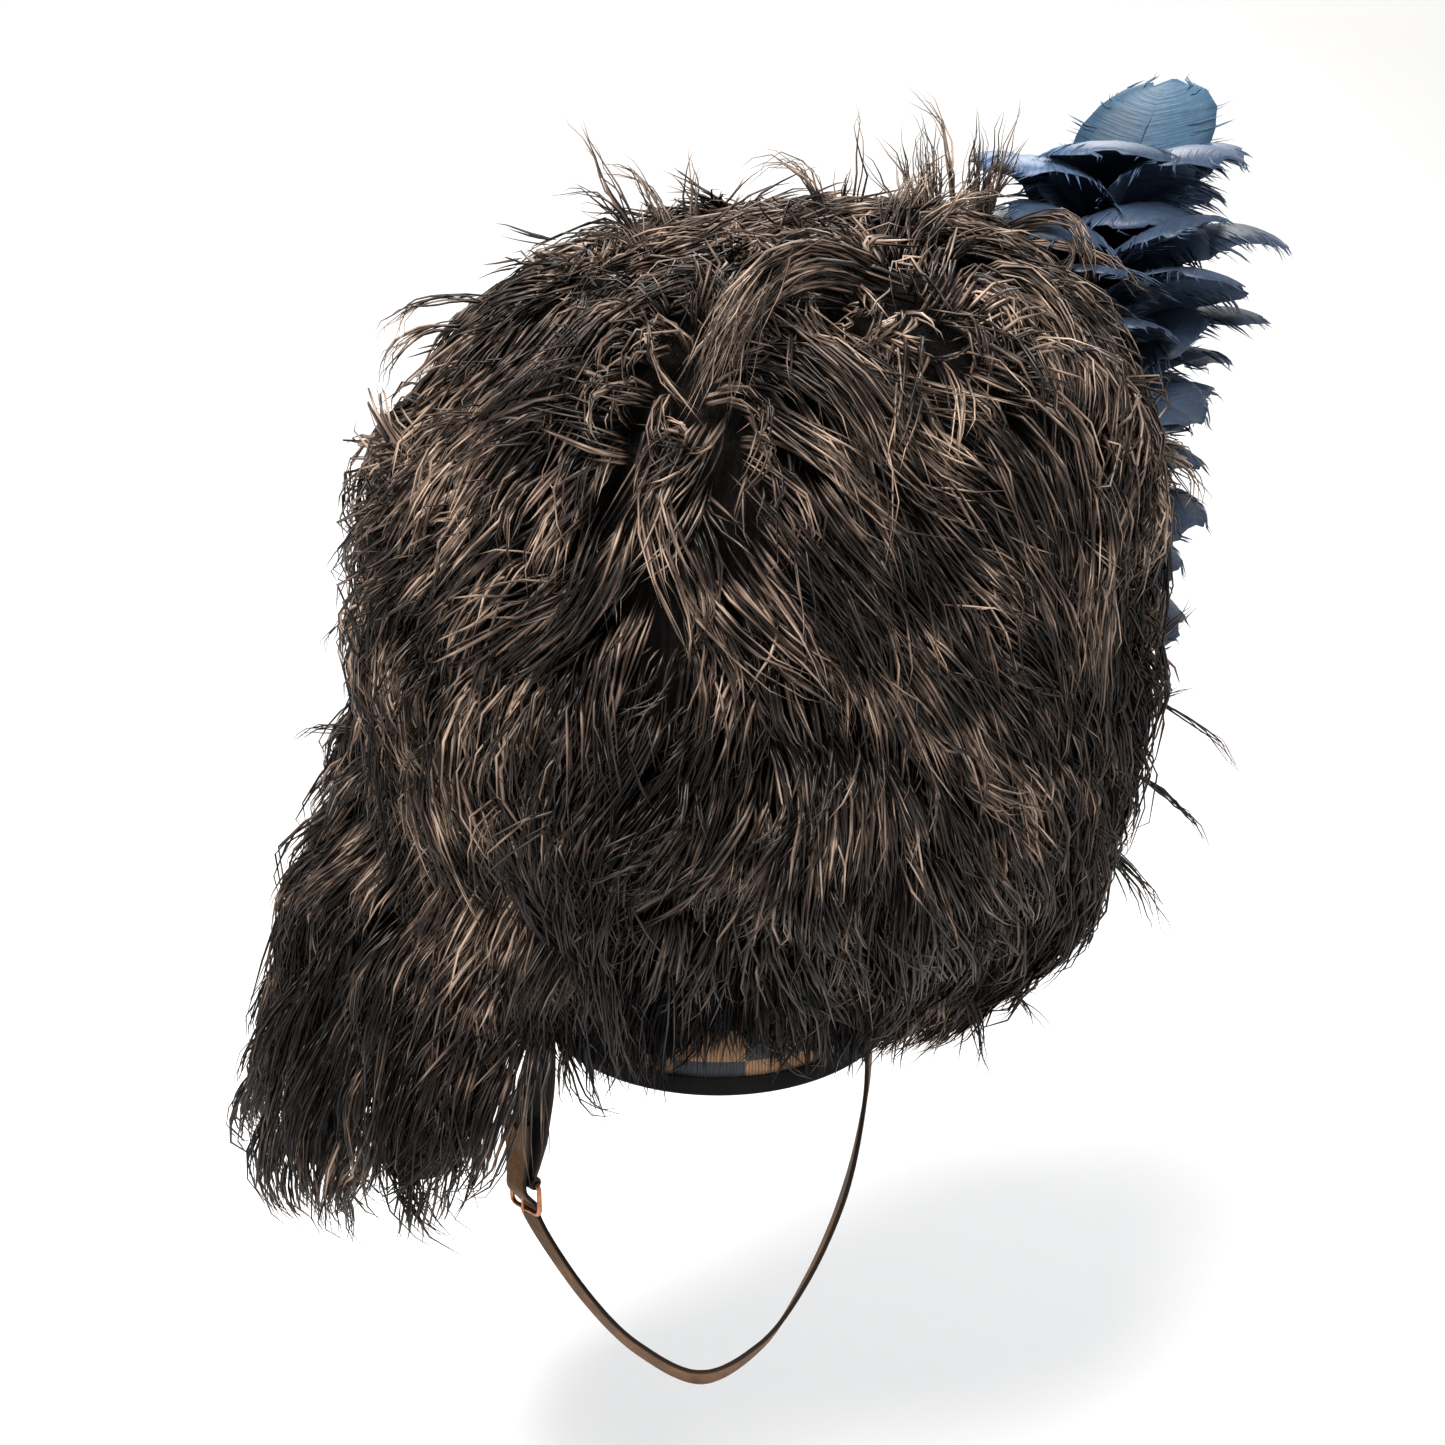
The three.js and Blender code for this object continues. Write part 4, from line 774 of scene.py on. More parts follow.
# a feather as a function of its length t and width v, giving points, normals and tangents
def featherShape(index, dice):
    count = hackle["feathers"]
    rank = index / (count - 1)
    turn = (count - 2 - index) * math.pi * (3 - 5 ** 0.5) + dice.normal(scale=0.1)
    turn = (turn + math.pi) % (2 * math.pi) - math.pi
    turn *= 0.52 + 0.48 * min(1.0, max(0.0, (rank - 0.5) / 0.35))  # lower down they point away from the crown
    cap = index == count - 1
    side, flat = heading(turn)
    if side[0] < 0:
        side[0] *= hackle["inner"]
    length = hackle["length"] * dice.uniform(0.92, 1.08) * (1.03 + 0.07 * rank)
    first = math.radians(dice.uniform(24, 52) + 34 * rank)
    last = math.radians(dice.uniform(-48, -8) - 26 * (1 - rank))
    seat = stemPoint(hackle["lowest"] + (1 - hackle["lowest"]) * rank ** 1.1)
    roll = dice.normal(scale=0.3)
    wide = hackle["width"] * dice.uniform(0.8, 1.15) * (1.1 - 0.1 * rank)
    if cap:  # the pale one stands up, its broad side to the front
        side, flat, roll = np.array((0.85, 0.25, 0.0)), unit(np.array((1.0, -0.25, 0.0))), 0.0
        first, last = math.radians(hackle["capUp"]), math.radians(hackle["capDroop"])
        wide, length = hackle["capWidth"], hackle["capLength"]
    elif count - 1 - index <= len(crest):  # a few broad ones arch over in front of it
        degrees, droop, length, wide = crest[count - 2 - index]
        first, last, roll = math.radians(hackle["capUp"]), math.radians(droop), 0.1 * roll
        side, flat = heading(math.radians(degrees))

    run = np.linspace(0, 1.1, 45)  # a feather climbs first and bends over late
    bends = first + (last - first) * run ** 1.7
    gone = [np.concatenate([[0], np.cumsum(f(bends[:-1] + np.diff(bends) / 2)) * run[1]]) for f in (np.cos, np.sin)]
    upright = np.array((0, 0, 1.0))

    def at(t, v):
        t, v = np.broadcast_arrays(np.asarray(t, float), np.asarray(v, float))
        bend = np.interp(t, run, bends)
        reach, rise = (np.interp(t, run, way) for way in gone)
        middle = seat + length * (reach[..., None] * side + rise[..., None] * upright)
        tangent = unit(np.cos(bend)[..., None] * side + np.sin(bend)[..., None] * upright)
        normal = unit(np.cross(tangent, flat))
        half = 0.5 * wide * readRows(vaneRows, np.minimum(t, 1))[0]
        point = middle + unit(flat + roll * normal) * (v * half)[..., None]
        point = point + normal * (-np.sign(normal[..., 2:3] + 1e-9)) * (hackle["camber"] * half * v ** 2)[..., None]
        return point, normal, tangent

    return at, cap


# blue in patches, streaked along the barbs and paler towards tips, and paler towards the top as painted light from
# above
def blueMaterial(name, colours, sheenTint):
    material, tree, shader = newMaterial(name, 0.5, Sheen_Weight=0.06, Sheen_Roughness=0.3,
                                         Sheen_Tint=(*sheenTint, 1), Specular_IOR_Level=0.35)
    place = objectPlace(tree)
    streak = addNoise(tree, addAttribute(tree, "barbLine", "Vector"), 1.0)
    # painted light: the hackle's colour pales upwards from z 0.33 to 0.42, as if lit from above
    total = addRange(tree, addNode(tree, "ShaderNodeSeparateXYZ", "Z", in_Vector=place), 0.33, 0.42, toHigh=0.26)
    for source, share in ((addNoise(tree, place, 22.0), 0.9), (addNoise(tree, place, 420.0), 0.3), (streak, 0.45),
                          (addAttribute(tree, "along"), 0.22)):
        total = addMath(tree, "MULTIPLY_ADD", source, share, total)
    setInputs(tree, shader, {"Base Color": addRamp(tree, addRange(tree, total, 0.72, 1.55), colours),
                             "Normal": addBump(tree, streak, 0.6, 0.0005)})
    return material


hackleBlue = blueMaterial("hackleBlue", [(0.0, (0.017, 0.027, 0.044)), (0.42, (0.033, 0.056, 0.102)),
                                         (0.72, (0.070, 0.125, 0.220)), (1.0, (0.18, 0.30, 0.44))], (0.55, 0.72, 1.0))
hacklePale = blueMaterial("hacklePale", [(0.0, (0.012, 0.031, 0.058)), (0.6, (0.042, 0.094, 0.150)),
                                         (1.0, (0.13, 0.25, 0.32))], (0.8, 0.95, 1.0))


# the faces of a thin plate: front, back and the edge round them
def plateFaces(rows, columns):
    def corner(r, c, k):
        return (k * (rows + 1) + r) * (columns + 1) + c

    faces = []
    for r in range(rows):
        for c in range(columns):
            faces.append((corner(r, c, 0), corner(r + 1, c, 0), corner(r + 1, c + 1, 0), corner(r, c + 1, 0)))
            faces.append((corner(r, c, 1), corner(r, c + 1, 1), corner(r + 1, c + 1, 1), corner(r + 1, c, 1)))
    edge = [(r, 0) for r in range(rows)] + [(rows, c) for c in range(columns)] \
        + [(rows - r, columns) for r in range(rows)] + [(0, columns - c) for c in range(columns)]
    for a, b in zip(edge, edge[1:] + edge[:1]):
        faces.append((corner(*a, 0), corner(*a, 1), corner(*b, 1), corner(*b, 0)))
    return np.array(faces)


def makeHackle():
    dice = np.random.default_rng(77)
    rows, columns = hackle["rows"], hackle["columns"]
    points, lines, guides = ({False: [], True: []} for _ in range(3))
    for index in range(hackle["feathers"]):
        at, cap = featherShape(index, dice)
        t = (0.98 - hackle["vaneLength"] * np.linspace(1, 0, rows + 1) ** 1.3)[:, None]
        v = np.linspace(-hackle["vaneHalf"], hackle["vaneHalf"], columns + 1)[None, :]
        splits = 1 - hackle["splits"][cap] * dice.random((rows + 1, 2)) ** 2.2  # the barbs part along the edge
        v = v * np.where(np.abs(v) > 0.7, np.where(v < 0, splits[:, :1], splits[:, 1:]), 1)
        t = t + 0.05 * (dice.random((1, columns + 1)) - 0.6) * np.linspace(0, 1, rows + 1)[:, None] ** 6
        point, normal, _ = at(t, v)
        thin = normal * hackle["thickness"] * (1 - 0.9 * np.abs(v) ** 3)[..., None]
        points[cap].append(np.concatenate([(point + thin).reshape(-1, 3), (point - thin).reshape(-1, 3)]))
        line = np.stack(np.broadcast_arrays((t - 0.16 * np.abs(v) ** 1.3) * 80, np.abs(v) * 1.5, index * 3.7), -1)
        lines[cap] += [line.reshape(-1, 3)] * 2
        s = np.linspace(hackle["barbStart"], 1, hackle["steps"])
        for way in (-1, 1):
            for k in range(hackle["barbsPerSide"]):
                root = 0.05 + 0.85 * (k + dice.random()) / hackle["barbsPerSide"]
                stray = 1.04 + 0.10 * math.sin(k * 1.7 + index) + dice.uniform(-0.10, 0.16)
                reach = 0.13 + 0.06 * dice.random() + 0.05 * max(0, root - 0.8)
                point, normal, tangent = at(np.minimum(root + reach * s ** 1.3, 1.06), way * s * stray)
                guides[cap].append((point, tangent * hackle["barbAcross"], normal * hackle["barbOut"]))
        t = np.linspace(0, 0.99, hackle["steps"])
        point, normal, tangent = at(t, 0 * t)
        guides[cap] += [(point, tangent * 0, normal * hackle["barbOut"])] * 3  # the quill
    kinds = ((False, "hackle", hackleBlue), (True, "hackleTop", hacklePale))
    plate, pieces = plateFaces(rows, columns), []
    for cap, name, material in kinds:
        faces = np.concatenate([plate + k * len(vane) for k, vane in enumerate(points[cap])])
        pieces.append(addMesh(name + "Vanes", np.concatenate(points[cap]), faces, material))
        storeOn(pieces[-1].data, "barbLine", np.concatenate(lines[cap]))
    for cap, name, material in kinds:
        laid = np.array(guides[cap]).transpose(1, 0, 2, 3)
        pieces.append(layBarbs(name + "Barbs", *laid, hackle["barbs"], material))
    path = np.array([stemPoint(s) for s in np.linspace(0.014, 1.02, 14)])
    pieces.append(sweep("hackleStem", path, (1.0, 0, 0), roundSection(hackle["stemRadius"]), hackleBlue))
    return pieces


# a closed body along a path; across gives the way the profile's first axis points
def sweep(name, path, across, profile, material, scale=None, loop=False):
    path = np.asarray(path, float)
    tangent = unit(np.roll(path, -1, 0) - np.roll(path, 1, 0) if loop else np.gradient(path, axis=0))
    across = unit(across - tangent * (across * tangent).sum(1, keepdims=True))
    outward = np.cross(tangent, across)
    scale = np.ones((len(path), 2)) if scale is None else scale
    rings = path[:, None] + across[:, None] * (profile[None, :, 0] * scale[:, :1])[..., None] \
        + outward[:, None] * (profile[None, :, 1] * scale[:, 1:])[..., None]
    piece = shell(name, rings, material, loop)
    sideways = np.tile(profile[:, 0] / np.abs(profile[:, 0]).max(), len(path))
    storeOn(piece.data, "sideways", sideways if loop else np.append(sideways, [0, 0]))
    return piece


def roundSection(radius):
    turns = turnsRound(14)
    return np.stack([np.cos(turns), np.sin(turns)], 1) * radius


# the section of a bar with rounded corners, with points across the broad faces if wanted
def barSection(width, thickness, radius, corner=3, faceSteps=0):
    points, reach = [], width / 2 - radius
    for sx, sy, start in ((1, 1, 0), (-1, 1, 90), (-1, -1, 180), (1, -1, 270)):
        for angle in np.radians(start + np.linspace(0, 90, corner)):
            points.append((sx * reach + radius * math.cos(angle),
                           sy * (thickness / 2 - radius) + radius * math.sin(angle)))
        if start in (0, 180):
            points += [(sx * reach * (1 - 2 * k / (faceSteps + 1)), sy * thickness / 2)
                       for k in range(1, faceSteps + 1)]
    return np.array(points)


strap = {"width": 0.013, "thickness": 0.0022, "edge": 0.0007, "freeEnd": 0.034, "notch": 0.005}
chape = {"width": 0.027, "thickness": 0.0022, "angle": 206, "edge": 0.0007, "foldEdge": 0.0006}
buckle = {"width": 0.022, "height": 0.019, "bar": 0.0024, "prong": 0.002, "place": (-0.092, -0.052, -0.082),
          "heading": -46, "corner": 0.0032, "prongEdge": 0.0004}
gap = 0.0004
barUp = (buckle["height"] - buckle["bar"]) / 2
sleeveInner = buckle["bar"] / 2 + gap
sleeveOuter = sleeveInner + chape["thickness"] * 0.75
sleeveWidth = buckle["width"] - 2 * buckle["bar"] - 2 * gap
buckleTurn = math.radians(buckle["heading"])
buckleAcross = np.array((math.sin(buckleTurn), math.cos(buckleTurn), 0.0))
buckleOut = np.cross((0, 0, 1.0), buckleAcross)


def atBuckle(up, out, side=0.0):
    return np.array(buckle["place"]) + np.array((0, 0, up)) + buckleOut * out - buckleAcross * side


# points round the buckle's upper bar
def roundBuckleBar(radius, count, start=0.0):
    return np.array([atBuckle(barUp + radius * math.sin(a), radius * math.cos(a)) for a in start + turnsRound(count)])


# smooth path through points, by the centripetal rule, with the rows' other columns run straight between them
def smoothRoute(rows, count):
    rows = np.array(rows, float)
    p = np.concatenate([2 * rows[:1, :3] - rows[1:2, :3], rows[:, :3], 2 * rows[-1:, :3] - rows[-2:-1, :3]])
    path, extra = [], []
    for step in range(count + 1):
        spot = step / count * (len(rows) - 1)
        low = min(int(spot), len(rows) - 2)
        w = spot - low
        a, b, c, d = p[low:low + 4]
        t0, t1, t2 = (max(np.linalg.norm(q - r) ** 0.5, 1e-4) for q, r in ((b, a), (c, b), (d, c)))
        m1 = ((b - a) / t0 - (c - a) / (t0 + t1) + (c - b) / t1) * t1
        m2 = ((c - b) / t1 - (d - b) / (t1 + t2) + (d - c) / t2) * t1
        path.append((2 * w ** 3 - 3 * w ** 2 + 1) * b + (w ** 3 - 2 * w ** 2 + w) * m1
                    + (-2 * w ** 3 + 3 * w ** 2) * c + (w ** 3 - w ** 2) * m2)
        extra.append(rows[low, 3:] * (1 - w) + rows[low + 1, 3:] * w)
    return np.array(path), np.array(extra)


# a strip of leather along rows of x, y, z, heading, tilt and width
def layStrip(name, rows, count, profile, material):
    path, extra = smoothRoute(rows, count)
    turn, tilt = np.radians(extra[:, 0]), np.radians(extra[:, 1])
    across = np.stack([np.sin(turn) * np.cos(tilt), np.cos(turn) * np.cos(tilt), np.sin(tilt)], 1)
    return sweep(name, path, across, profile, material, np.stack([extra[:, 2], np.ones(len(extra))], 1))


# grained leather, in colours that vary broadly, with a colour of its own where the edges are worn
def leatherMaterial(name, colours, roughness, edge, coat):
    material, tree, shader = newMaterial(name, roughness, Coat_Weight=coat, Coat_Roughness=0.25,
                                         Specular_IOR_Level=0.12)
    place = objectPlace(tree)
    cells = addNode(tree, "ShaderNodeTexVoronoi", "Distance", in_Vector=place, in_Scale=620.0)
    broad, crease = addNoise(tree, place, 70.0, 6.0, 0.65), addNoise(tree, place, 240.0, 3.0)
    worn = addRange(tree, addMath(tree, "ABSOLUTE", addAttribute(tree, "sideways")), 0.8)
    colour = addNode(tree, "ShaderNodeMix", data_type="RGBA", in_0=worn, in_6=addRamp(tree, broad, colours),
                     in_7=(*edge, 1))
    rough = addRange(tree, broad, toLow=roughness - 0.12, toHigh=roughness + 0.15)
    height = addMath(tree, "MULTIPLY_ADD", crease, 1.4, cells)
    setInputs(tree, shader, {"Base Color": colour, "Roughness": rough,
                             "Normal": addBump(tree, height, 0.5, 0.00035)})
    return material


brownLeather = leatherMaterial("brownLeather", [(0.3, (0.036, 0.016, 0.0060)), (0.55, (0.112, 0.054, 0.0215)),
                                                (0.8, (0.190, 0.104, 0.050))], 0.66, (0.008, 0.0045, 0.003), 0.0)
blackLeather = leatherMaterial("blackLeather", [(0.3, (0.0018, 0.0015, 0.0013)), (0.8, (0.0065, 0.0050, 0.0042))],
                               0.6, (0.012, 0.009, 0.007), 0.02)


def makeCopper():
    material, tree, shader = newMaterial("agedCopper", 0.35, Metallic=1.0)
    stain = addNoise(tree, objectPlace(tree), 260.0, 6.0, 0.7)
    colours = [(0.3, (0.09, 0.04, 0.022)), (0.55, (0.32, 0.135, 0.068)), (0.8, (0.58, 0.29, 0.17))]
    setInputs(tree, shader, {"Base Color": addRamp(tree, stain, colours),
                             "Roughness": addRange(tree, stain, toLow=0.55, toHigh=0.25),
                             "Normal": addBump(tree, stain, 0.3, 0.0002)})
    return material


agedCopper = makeCopper()


def makeStrap():
    behind = -(buckle["bar"] / 2 + 2 * gap + strap["thickness"] / 2)
    over = sleeveOuter + 2 * gap + strap["thickness"] / 2
    onChape = chape["thickness"] / 2 + 4 * gap + strap["thickness"] / 2
    rows = [  # x, y, z, heading, tilt, width
        (0.0715, -0.034, 0.018, 13, 0, 1), (0.0715, -0.034, -0.008, 13, 0, 1), (0.0705, -0.037, -0.036, 8, -4, 1),
        (0.061, -0.046, -0.084, 0, -10, 1), (0.042, -0.057, -0.128, 0, -24, 1), (0.020, -0.066, -0.158, 0, -46, 1),
        (-0.008, -0.070, -0.173, 0, -60, 1), (-0.038, -0.066, -0.160, -14, -52, 1),
        (-0.064, -0.060, -0.134, -30, -34, 1)]
    for up, out, wide in ((-barUp - 1.6 * buckle["bar"], behind, 1), (-barUp + 0.3 * buckle["bar"], behind, 1),
                          (barUp - sleeveOuter - gap, over, 1), (barUp + sleeveOuter, over, 1),
                          (barUp + strap["freeEnd"] * 0.5, onChape, 1.25), (barUp + strap["freeEnd"], onChape, 1.5)):
        rows.append((*atBuckle(up, out), buckle["heading"], 0, wide))
    profile = barSection(strap["width"], strap["thickness"], strap["edge"], faceSteps=7)
    piece = layStrip("chinStrap", rows, 170, profile, brownLeather)
    # the notch in the free end
    tip, notch = atBuckle(barUp + strap["freeEnd"], onChape), strap["notch"]
    for vertex in piece.data.vertices:
        off = np.array(vertex.co) - tip
        if off[2] > -0.012 and -0.01 < off @ buckleOut < 0.006:
            vertex.co.z -= notch * 1.3 * max(0.0, 1 - abs(off @ buckleAcross) / notch) \
                * np.clip(1 + off[2] / 0.009, 0, 1)
    return piece


# the strip that hangs from under the plumes, and its fold round the buckle's upper bar
def makeChape():
    angle = math.radians(chape["angle"])
    seat = binding["outFace"] + 4 * gap + chape["thickness"] / 2
    top = np.array(((form["rimX"] + seat) * math.cos(angle), (form["rimY"] + seat) * math.sin(angle)))
    facing = math.degrees(math.atan2(math.cos(angle) * form["rimX"], math.sin(angle) * form["rimY"])) + 90
    end = atBuckle(barUp + sleeveInner, 0)

    def hanging(share, z, width):
        return (*(top * (1 - share) + end[:2] * share), z, facing * (1 - share) + buckle["heading"] * share, 0, width)

    narrow, low = sleeveWidth / chape["width"], buckle["place"][2]
    rows = [hanging(0, form["bandHeight"] * 0.8, 0.86), hanging(0, form["bindingHeight"], 0.9),
            hanging(0.2, low * 0.25, 1), hanging(0.75, low * 0.6, 1),
            (*end[:2], end[2] + sleeveOuter, buckle["heading"], 0, narrow), (*end, buckle["heading"], 0, narrow)]
    strip = layStrip("chapeStrip", rows, 60, barSection(chape["width"], chape["thickness"], chape["edge"]),
                     blackLeather)
    ring = sweep("chapeFold", roundBuckleBar((sleeveInner + sleeveOuter) / 2, 36), buckleAcross,
                 barSection(sleeveWidth, sleeveOuter - sleeveInner, chape["foldEdge"]), blackLeather, loop=True)
    return strip, ring


def makeBuckle():
    outline = barSection(buckle["width"] - buckle["bar"], buckle["height"] - buckle["bar"], buckle["corner"], 7)
    path = []
    for point, after in zip(outline, np.roll(outline, -1, 0)):  # the straights get points of their own
        path.append(point)
        if np.hypot(*(after - point)) > 0.003:
            path += [point * (1 - s) + after * s for s in (0.08, 0.35, 0.65, 0.92)]
    bar = sweep("buckleFrame", [atBuckle(up, 0, side) for side, up in path], buckleOut, roundSection(buckle["bar"] / 2),
                agedCopper, loop=True)
    thick = buckle["prong"] / 2
    middle = buckle["bar"] / 2 + gap + thick / 2
    profile = barSection(buckle["prong"], thick * 0.98, buckle["prongEdge"])
    eye = sweep("prongEye", roundBuckleBar(middle, 28, -0.5 * np.pi), buckleAcross, profile, agedCopper, loop=True)
    arm = [atBuckle(up, middle) for up in np.linspace(barUp - 0.0002, -buckle["height"] / 2 - 0.0002, 14)]
    narrowing = np.stack([np.linspace(1, 0.62, 14), np.ones(14)], 1)
    return bar, eye, sweep("prongArm", arm, buckleAcross, profile, agedCopper, narrowing)


def clothMaterial(name, colours, roughness, threads, strength):
    material, tree, shader = newMaterial(name, roughness, Specular_IOR_Level=0.12)
    place = objectPlace(tree)
    weave = addMath(tree, "MULTIPLY", *(
        addNode(tree, "ShaderNodeTexWave", "Fac", bands_direction=axis, in_Vector=place, in_Scale=threads,
                in_Distortion=1.2) for axis in "XZ"))
    setInputs(tree, shader, {"Base Color": addRamp(tree, addNoise(tree, place, 36.0, 5.0), colours),
                             "Normal": addBump(tree, weave, strength, 0.0004)})
    return material


crownCloth = clothMaterial("crownCloth", [(0.3, (0.006, 0.0055, 0.005)), (0.75, (0.017, 0.014, 0.012))], 0.95, 260.0,
                           0.7)
edgeTape = clothMaterial("edgeTape", [(0.3, (0.0008, 0.0008, 0.0008)), (0.75, (0.0024, 0.0024, 0.0023))], 0.9, 380.0,
                         0.6)

band = {"wall": 0.0016, "levels": 12, "around": 240, "run": 0.64, "check": (0.038, 0.0165), "ribs": 185.0}


# ribbed cloth in checks, laid out along the band's own run, with painted shade in the rib grooves and painted light on
# the rib crests
def makeDicedMaterial():
    material, tree, shader = newMaterial("dicedBand", 0.85, Sheen_Weight=0.15)
    place = addNode(tree, "ShaderNodeCombineXYZ", in_X=addAttribute(tree, "runLength"),
                    in_Y=addAttribute(tree, "upLength"))
    spread, squeeze = (addNode(tree, "ShaderNodeMapping", in_Vector=place, in_Scale=scale)
                       for scale in ((1 / band["check"][0], 1 / band["check"][1], 1), (band["ribs"], 1, 1)))
    checks = addNode(tree, "ShaderNodeTexChecker", "Color", in_Vector=spread, in_Scale=1.0,
                     in_Color1=(0.30, 0.155, 0.075, 1), in_Color2=(0.016, 0.021, 0.030, 1))
    ribs = addNode(tree, "ShaderNodeTexWave", "Fac", bands_direction="X", in_Vector=squeeze, in_Scale=1.0)
    # painted shade and light: the ribs that make the bump also darken the colour in their grooves and lighten it on
    # their crests
    colour = addNode(tree, "ShaderNodeMix", data_type="RGBA", blend_type="MULTIPLY", in_0=0.75, in_6=checks,
                     in_7=addRange(tree, ribs, toLow=0.35, toHigh=1.15))
    setInputs(tree, shader, {"Base Color": colour, "Normal": addBump(tree, ribs, 0.8, 0.0006)})
    return material


dicedCloth = makeDicedMaterial()


# one hollow wall: down the inside from its top, round the open foot, and up the outside
def makeCrown():
    top, wall, lift = form["crownHeight"], form["crownWall"], form["edgeLift"]
    shares = np.concatenate([np.linspace(0, 0.82, 24), np.linspace(0.84, 0.95, 6), [0.965, 0.98, 0.992, 1.0]])
    heights = lift + shares * (top - lift)
    outer = [crownRound(z, 0, form["crownAround"]) for z in heights]
    inner = []
    for z in heights[::-1]:
        ring = crownRound(z, -wall, form["crownAround"])
        ring[:, 2] = np.maximum(z * (top - wall) / top, lift)
        inner.append(ring)
    return shell("crownWall", inner + outer, crownCloth)


def makeBand():
    zs = np.linspace(form["bindingHeight"] * 0.25, form["bandHeight"], band["levels"])
    count, both = band["around"], np.concatenate([zs, zs[::-1]])
    rings = [crownRound(z, gap + band["wall"], count) for z in zs] + [crownRound(z, gap, count) for z in zs[::-1]]
    piece = shell("dicedBand", rings, dicedCloth, True)
    storeOn(piece.data, "runLength", np.tile(np.arange(count) / count * band["run"], len(rings)))
    storeOn(piece.data, "upLength", np.repeat(both, count))
    return piece


binding = {"wall": 0.0013, "outFace": 0.0037, "outInner": 0.0024}


# a U section over the bottom edge of crown and band
def makeEdge():
    wall, outFace, outInner = binding.values()
    top = form["bindingHeight"]
    inFace, inInner = -(form["crownWall"] + gap + wall), -(form["crownWall"] + gap)
    section = [(outInner, wall), (outInner, top - 0.0002), (outInner + 0.0004, top), (outFace - 0.0003, top),
               (outFace, top - 0.0006), (outFace, 0.0012), (outFace - 0.0005, 0.0003), (outFace - 0.0014, 0.0),
               (inFace + 0.0014, 0.0), (inFace + 0.0004, 0.0003), (inFace, 0.0011), (inFace, top - 0.0006),
               (inFace + 0.0003, top), (inInner - 0.0003, top), (inInner, top - 0.0003), (inInner, wall)]
    rings = []
    for out, z in section[::-1]:
        ring = crownRound(max(z, form["edgeLift"]), out, band["around"])
        ring[:, 2] = z
        rings.append(ring)
    return shell("edgeBinding", rings, edgeTape, True)


def makeSocket():
    turns = turnsRound(40)
    circle = np.stack([np.cos(turns), np.sin(turns), 0 * turns], 1)
    wallTop = hackle["socketHeight"] / hackle["lean"][2]
    rows = [(0, 0.0048), (0, 0.0056), (0.06, 0.006), (0.5, 0.006), (0.95, 0.006), (1, 0.0057), (1, 0.0032),
            (0.97, 0.0026), (0.12, 0.0026)]  # share of the height, radius
    return shell("hackleSocket", [stemPoint(share * wallTop) + circle * radius for share, radius in rows],
                 blackLeather)


hacklePieces = makeHackle()
print("hackle laid")
crownPiece, bandPiece, edgePiece, socketPiece = makeCrown(), makeBand(), makeEdge(), makeSocket()
strapPiece, chapePieces, bucklePieces = makeStrap(), makeChape(), makeBuckle()
print("crown, band, strap and buckle made")


def addCamera():
    lens = bpy.data.cameras.new("camera")
    lens.sensor_width = 36
    lens.lens = 36 * view["focal"]
    lens.clip_end = 20
    camera = addObject("camera", lens)
    rise = math.radians(view["elevation"])
    camera.location = Vector(view["target"]) + view["distance"] * Vector((0, -math.cos(rise), math.sin(rise)))
    camera.rotation_euler = (math.pi / 2 - rise, 0, 0)
    bpy.context.scene.camera = camera


def addLight(name, place, aim, size, power, colour):
    lamp = bpy.data.lights.new(name, "AREA")
    lamp.shape = "DISK"
    lamp.size = size
    lamp.energy = power
    lamp.color = colour
    holder = addObject(name, lamp)
    holder.location = place
    holder.rotation_euler = (Vector(aim) - Vector(place)).to_track_quat("-Z", "Y").to_euler()


studio = {"width": 6.0, "front": -3.0, "back": 2.6, "floor": -0.42, "bend": 1.2, "wall": 4.0,
          "sky": (0.95, 0.97, 1.0, 1), "skyStrength": 0.32}
lights = [  # name, place, aim, size, power, colour
    ("key", (-0.5, -1.15, 1.9), (0, 0, 0.15), 1.0, 114, (1, 0.97, 0.94)),
    ("fill", (1.5, -1.0, 0.6), (0, 0, 0.1), 0.9, 12, (0.94, 0.97, 1)),
    ("rim", (0.3, 1.4, 1.6), (0, 0, 0.2), 0.8, 26, (1, 1, 1))]


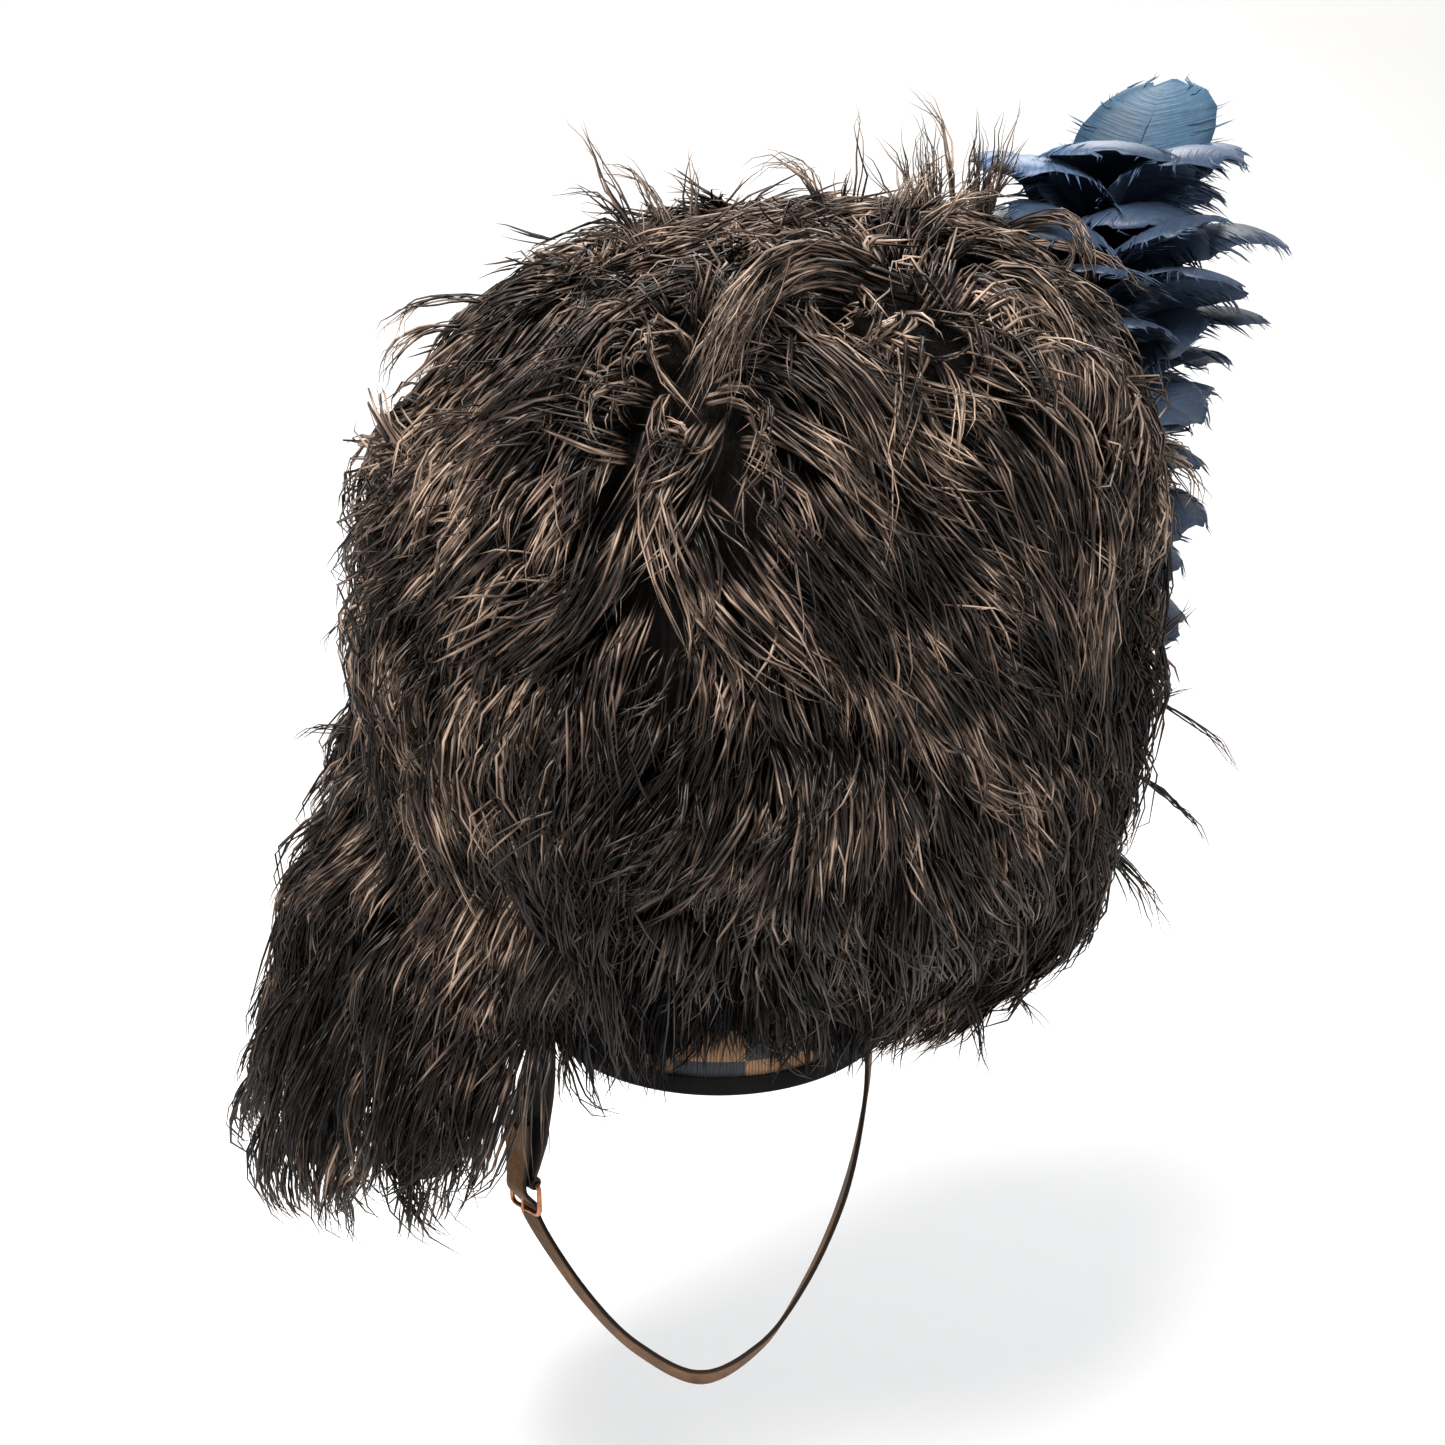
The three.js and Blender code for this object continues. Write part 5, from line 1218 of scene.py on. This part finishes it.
# a pale floor that bends up into a wall, with soft light
def addStudio():
    material, tree, shader = newMaterial("paleFloor", 0.9, Base_Color=(0.9, 0.9, 0.9, 1))
    back, floor, bend = studio["back"], studio["floor"], studio["bend"]
    profile = [(studio["front"], floor), (back - bend, floor)]
    profile += [(back - bend + bend * math.sin(a), floor + bend - bend * math.cos(a))
                for a in np.linspace(0.1, math.pi / 2, 12)]
    profile += [(back, floor + studio["wall"])]
    points = [(side * studio["width"], y, z) for y, z in profile for side in (-1, 1)]
    faces = [(2 * k, 2 * k + 1, 2 * k + 3, 2 * k + 2) for k in range(len(profile) - 1)]
    addMesh("studioFloor", points, faces, material)
    world = bpy.data.worlds.new("studio")
    bpy.context.scene.world = world
    world.use_nodes = True
    setInputs(world.node_tree, world.node_tree.nodes["Background"],
              {"Color": studio["sky"], "Strength": studio["skyStrength"]})
    for light in lights:
        addLight(*light)
    bpy.context.scene.view_settings.view_transform = "Standard"


addCamera()
addStudio()
print("camera and studio set")

# what stands for what: piece, slot, and the node that it replaces, if any
standing = [(downPiece, "plumes", None), (manePiece, "plumes", None)]
tiers = {"topFrontBarbs": "top_plumes", "middleFrontBarbs": "middle_plumes", "lowerBarbs": "lower_plumes"}
standing += [(piece, "plumes", tiers.get(name)) for name, piece in plumePieces.items()]
for index, (core, barbs) in enumerate(tailPieces):
    standing += [(core, "plumes", None), (barbs, "plumes", f"tail_{index + 1}")]
standing += [(piece, "hackle_feathers", None if index else "hackle") for index, piece in enumerate(hacklePieces)]
standing += [
    (crownPiece, "crown_cloth", "crown"), (bandPiece, "diced_band", "headband"), (edgePiece, "binding", "edge_binding"),
    (socketPiece, "socket_leather", "hackle_socket"), (strapPiece, "brown_leather", "chin_strap"),
    (chapePieces[0], "black_leather", "strap_chape"), (chapePieces[1], "black_leather", None),
    (bucklePieces[0], "buckle_metal", "buckle_frame"), (bucklePieces[1], "buckle_metal", "buckle_prong"),
    (bucklePieces[2], "buckle_metal", None)]
for piece, slot, node in standing:
    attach(piece, "root")
    if node:
        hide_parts(node)
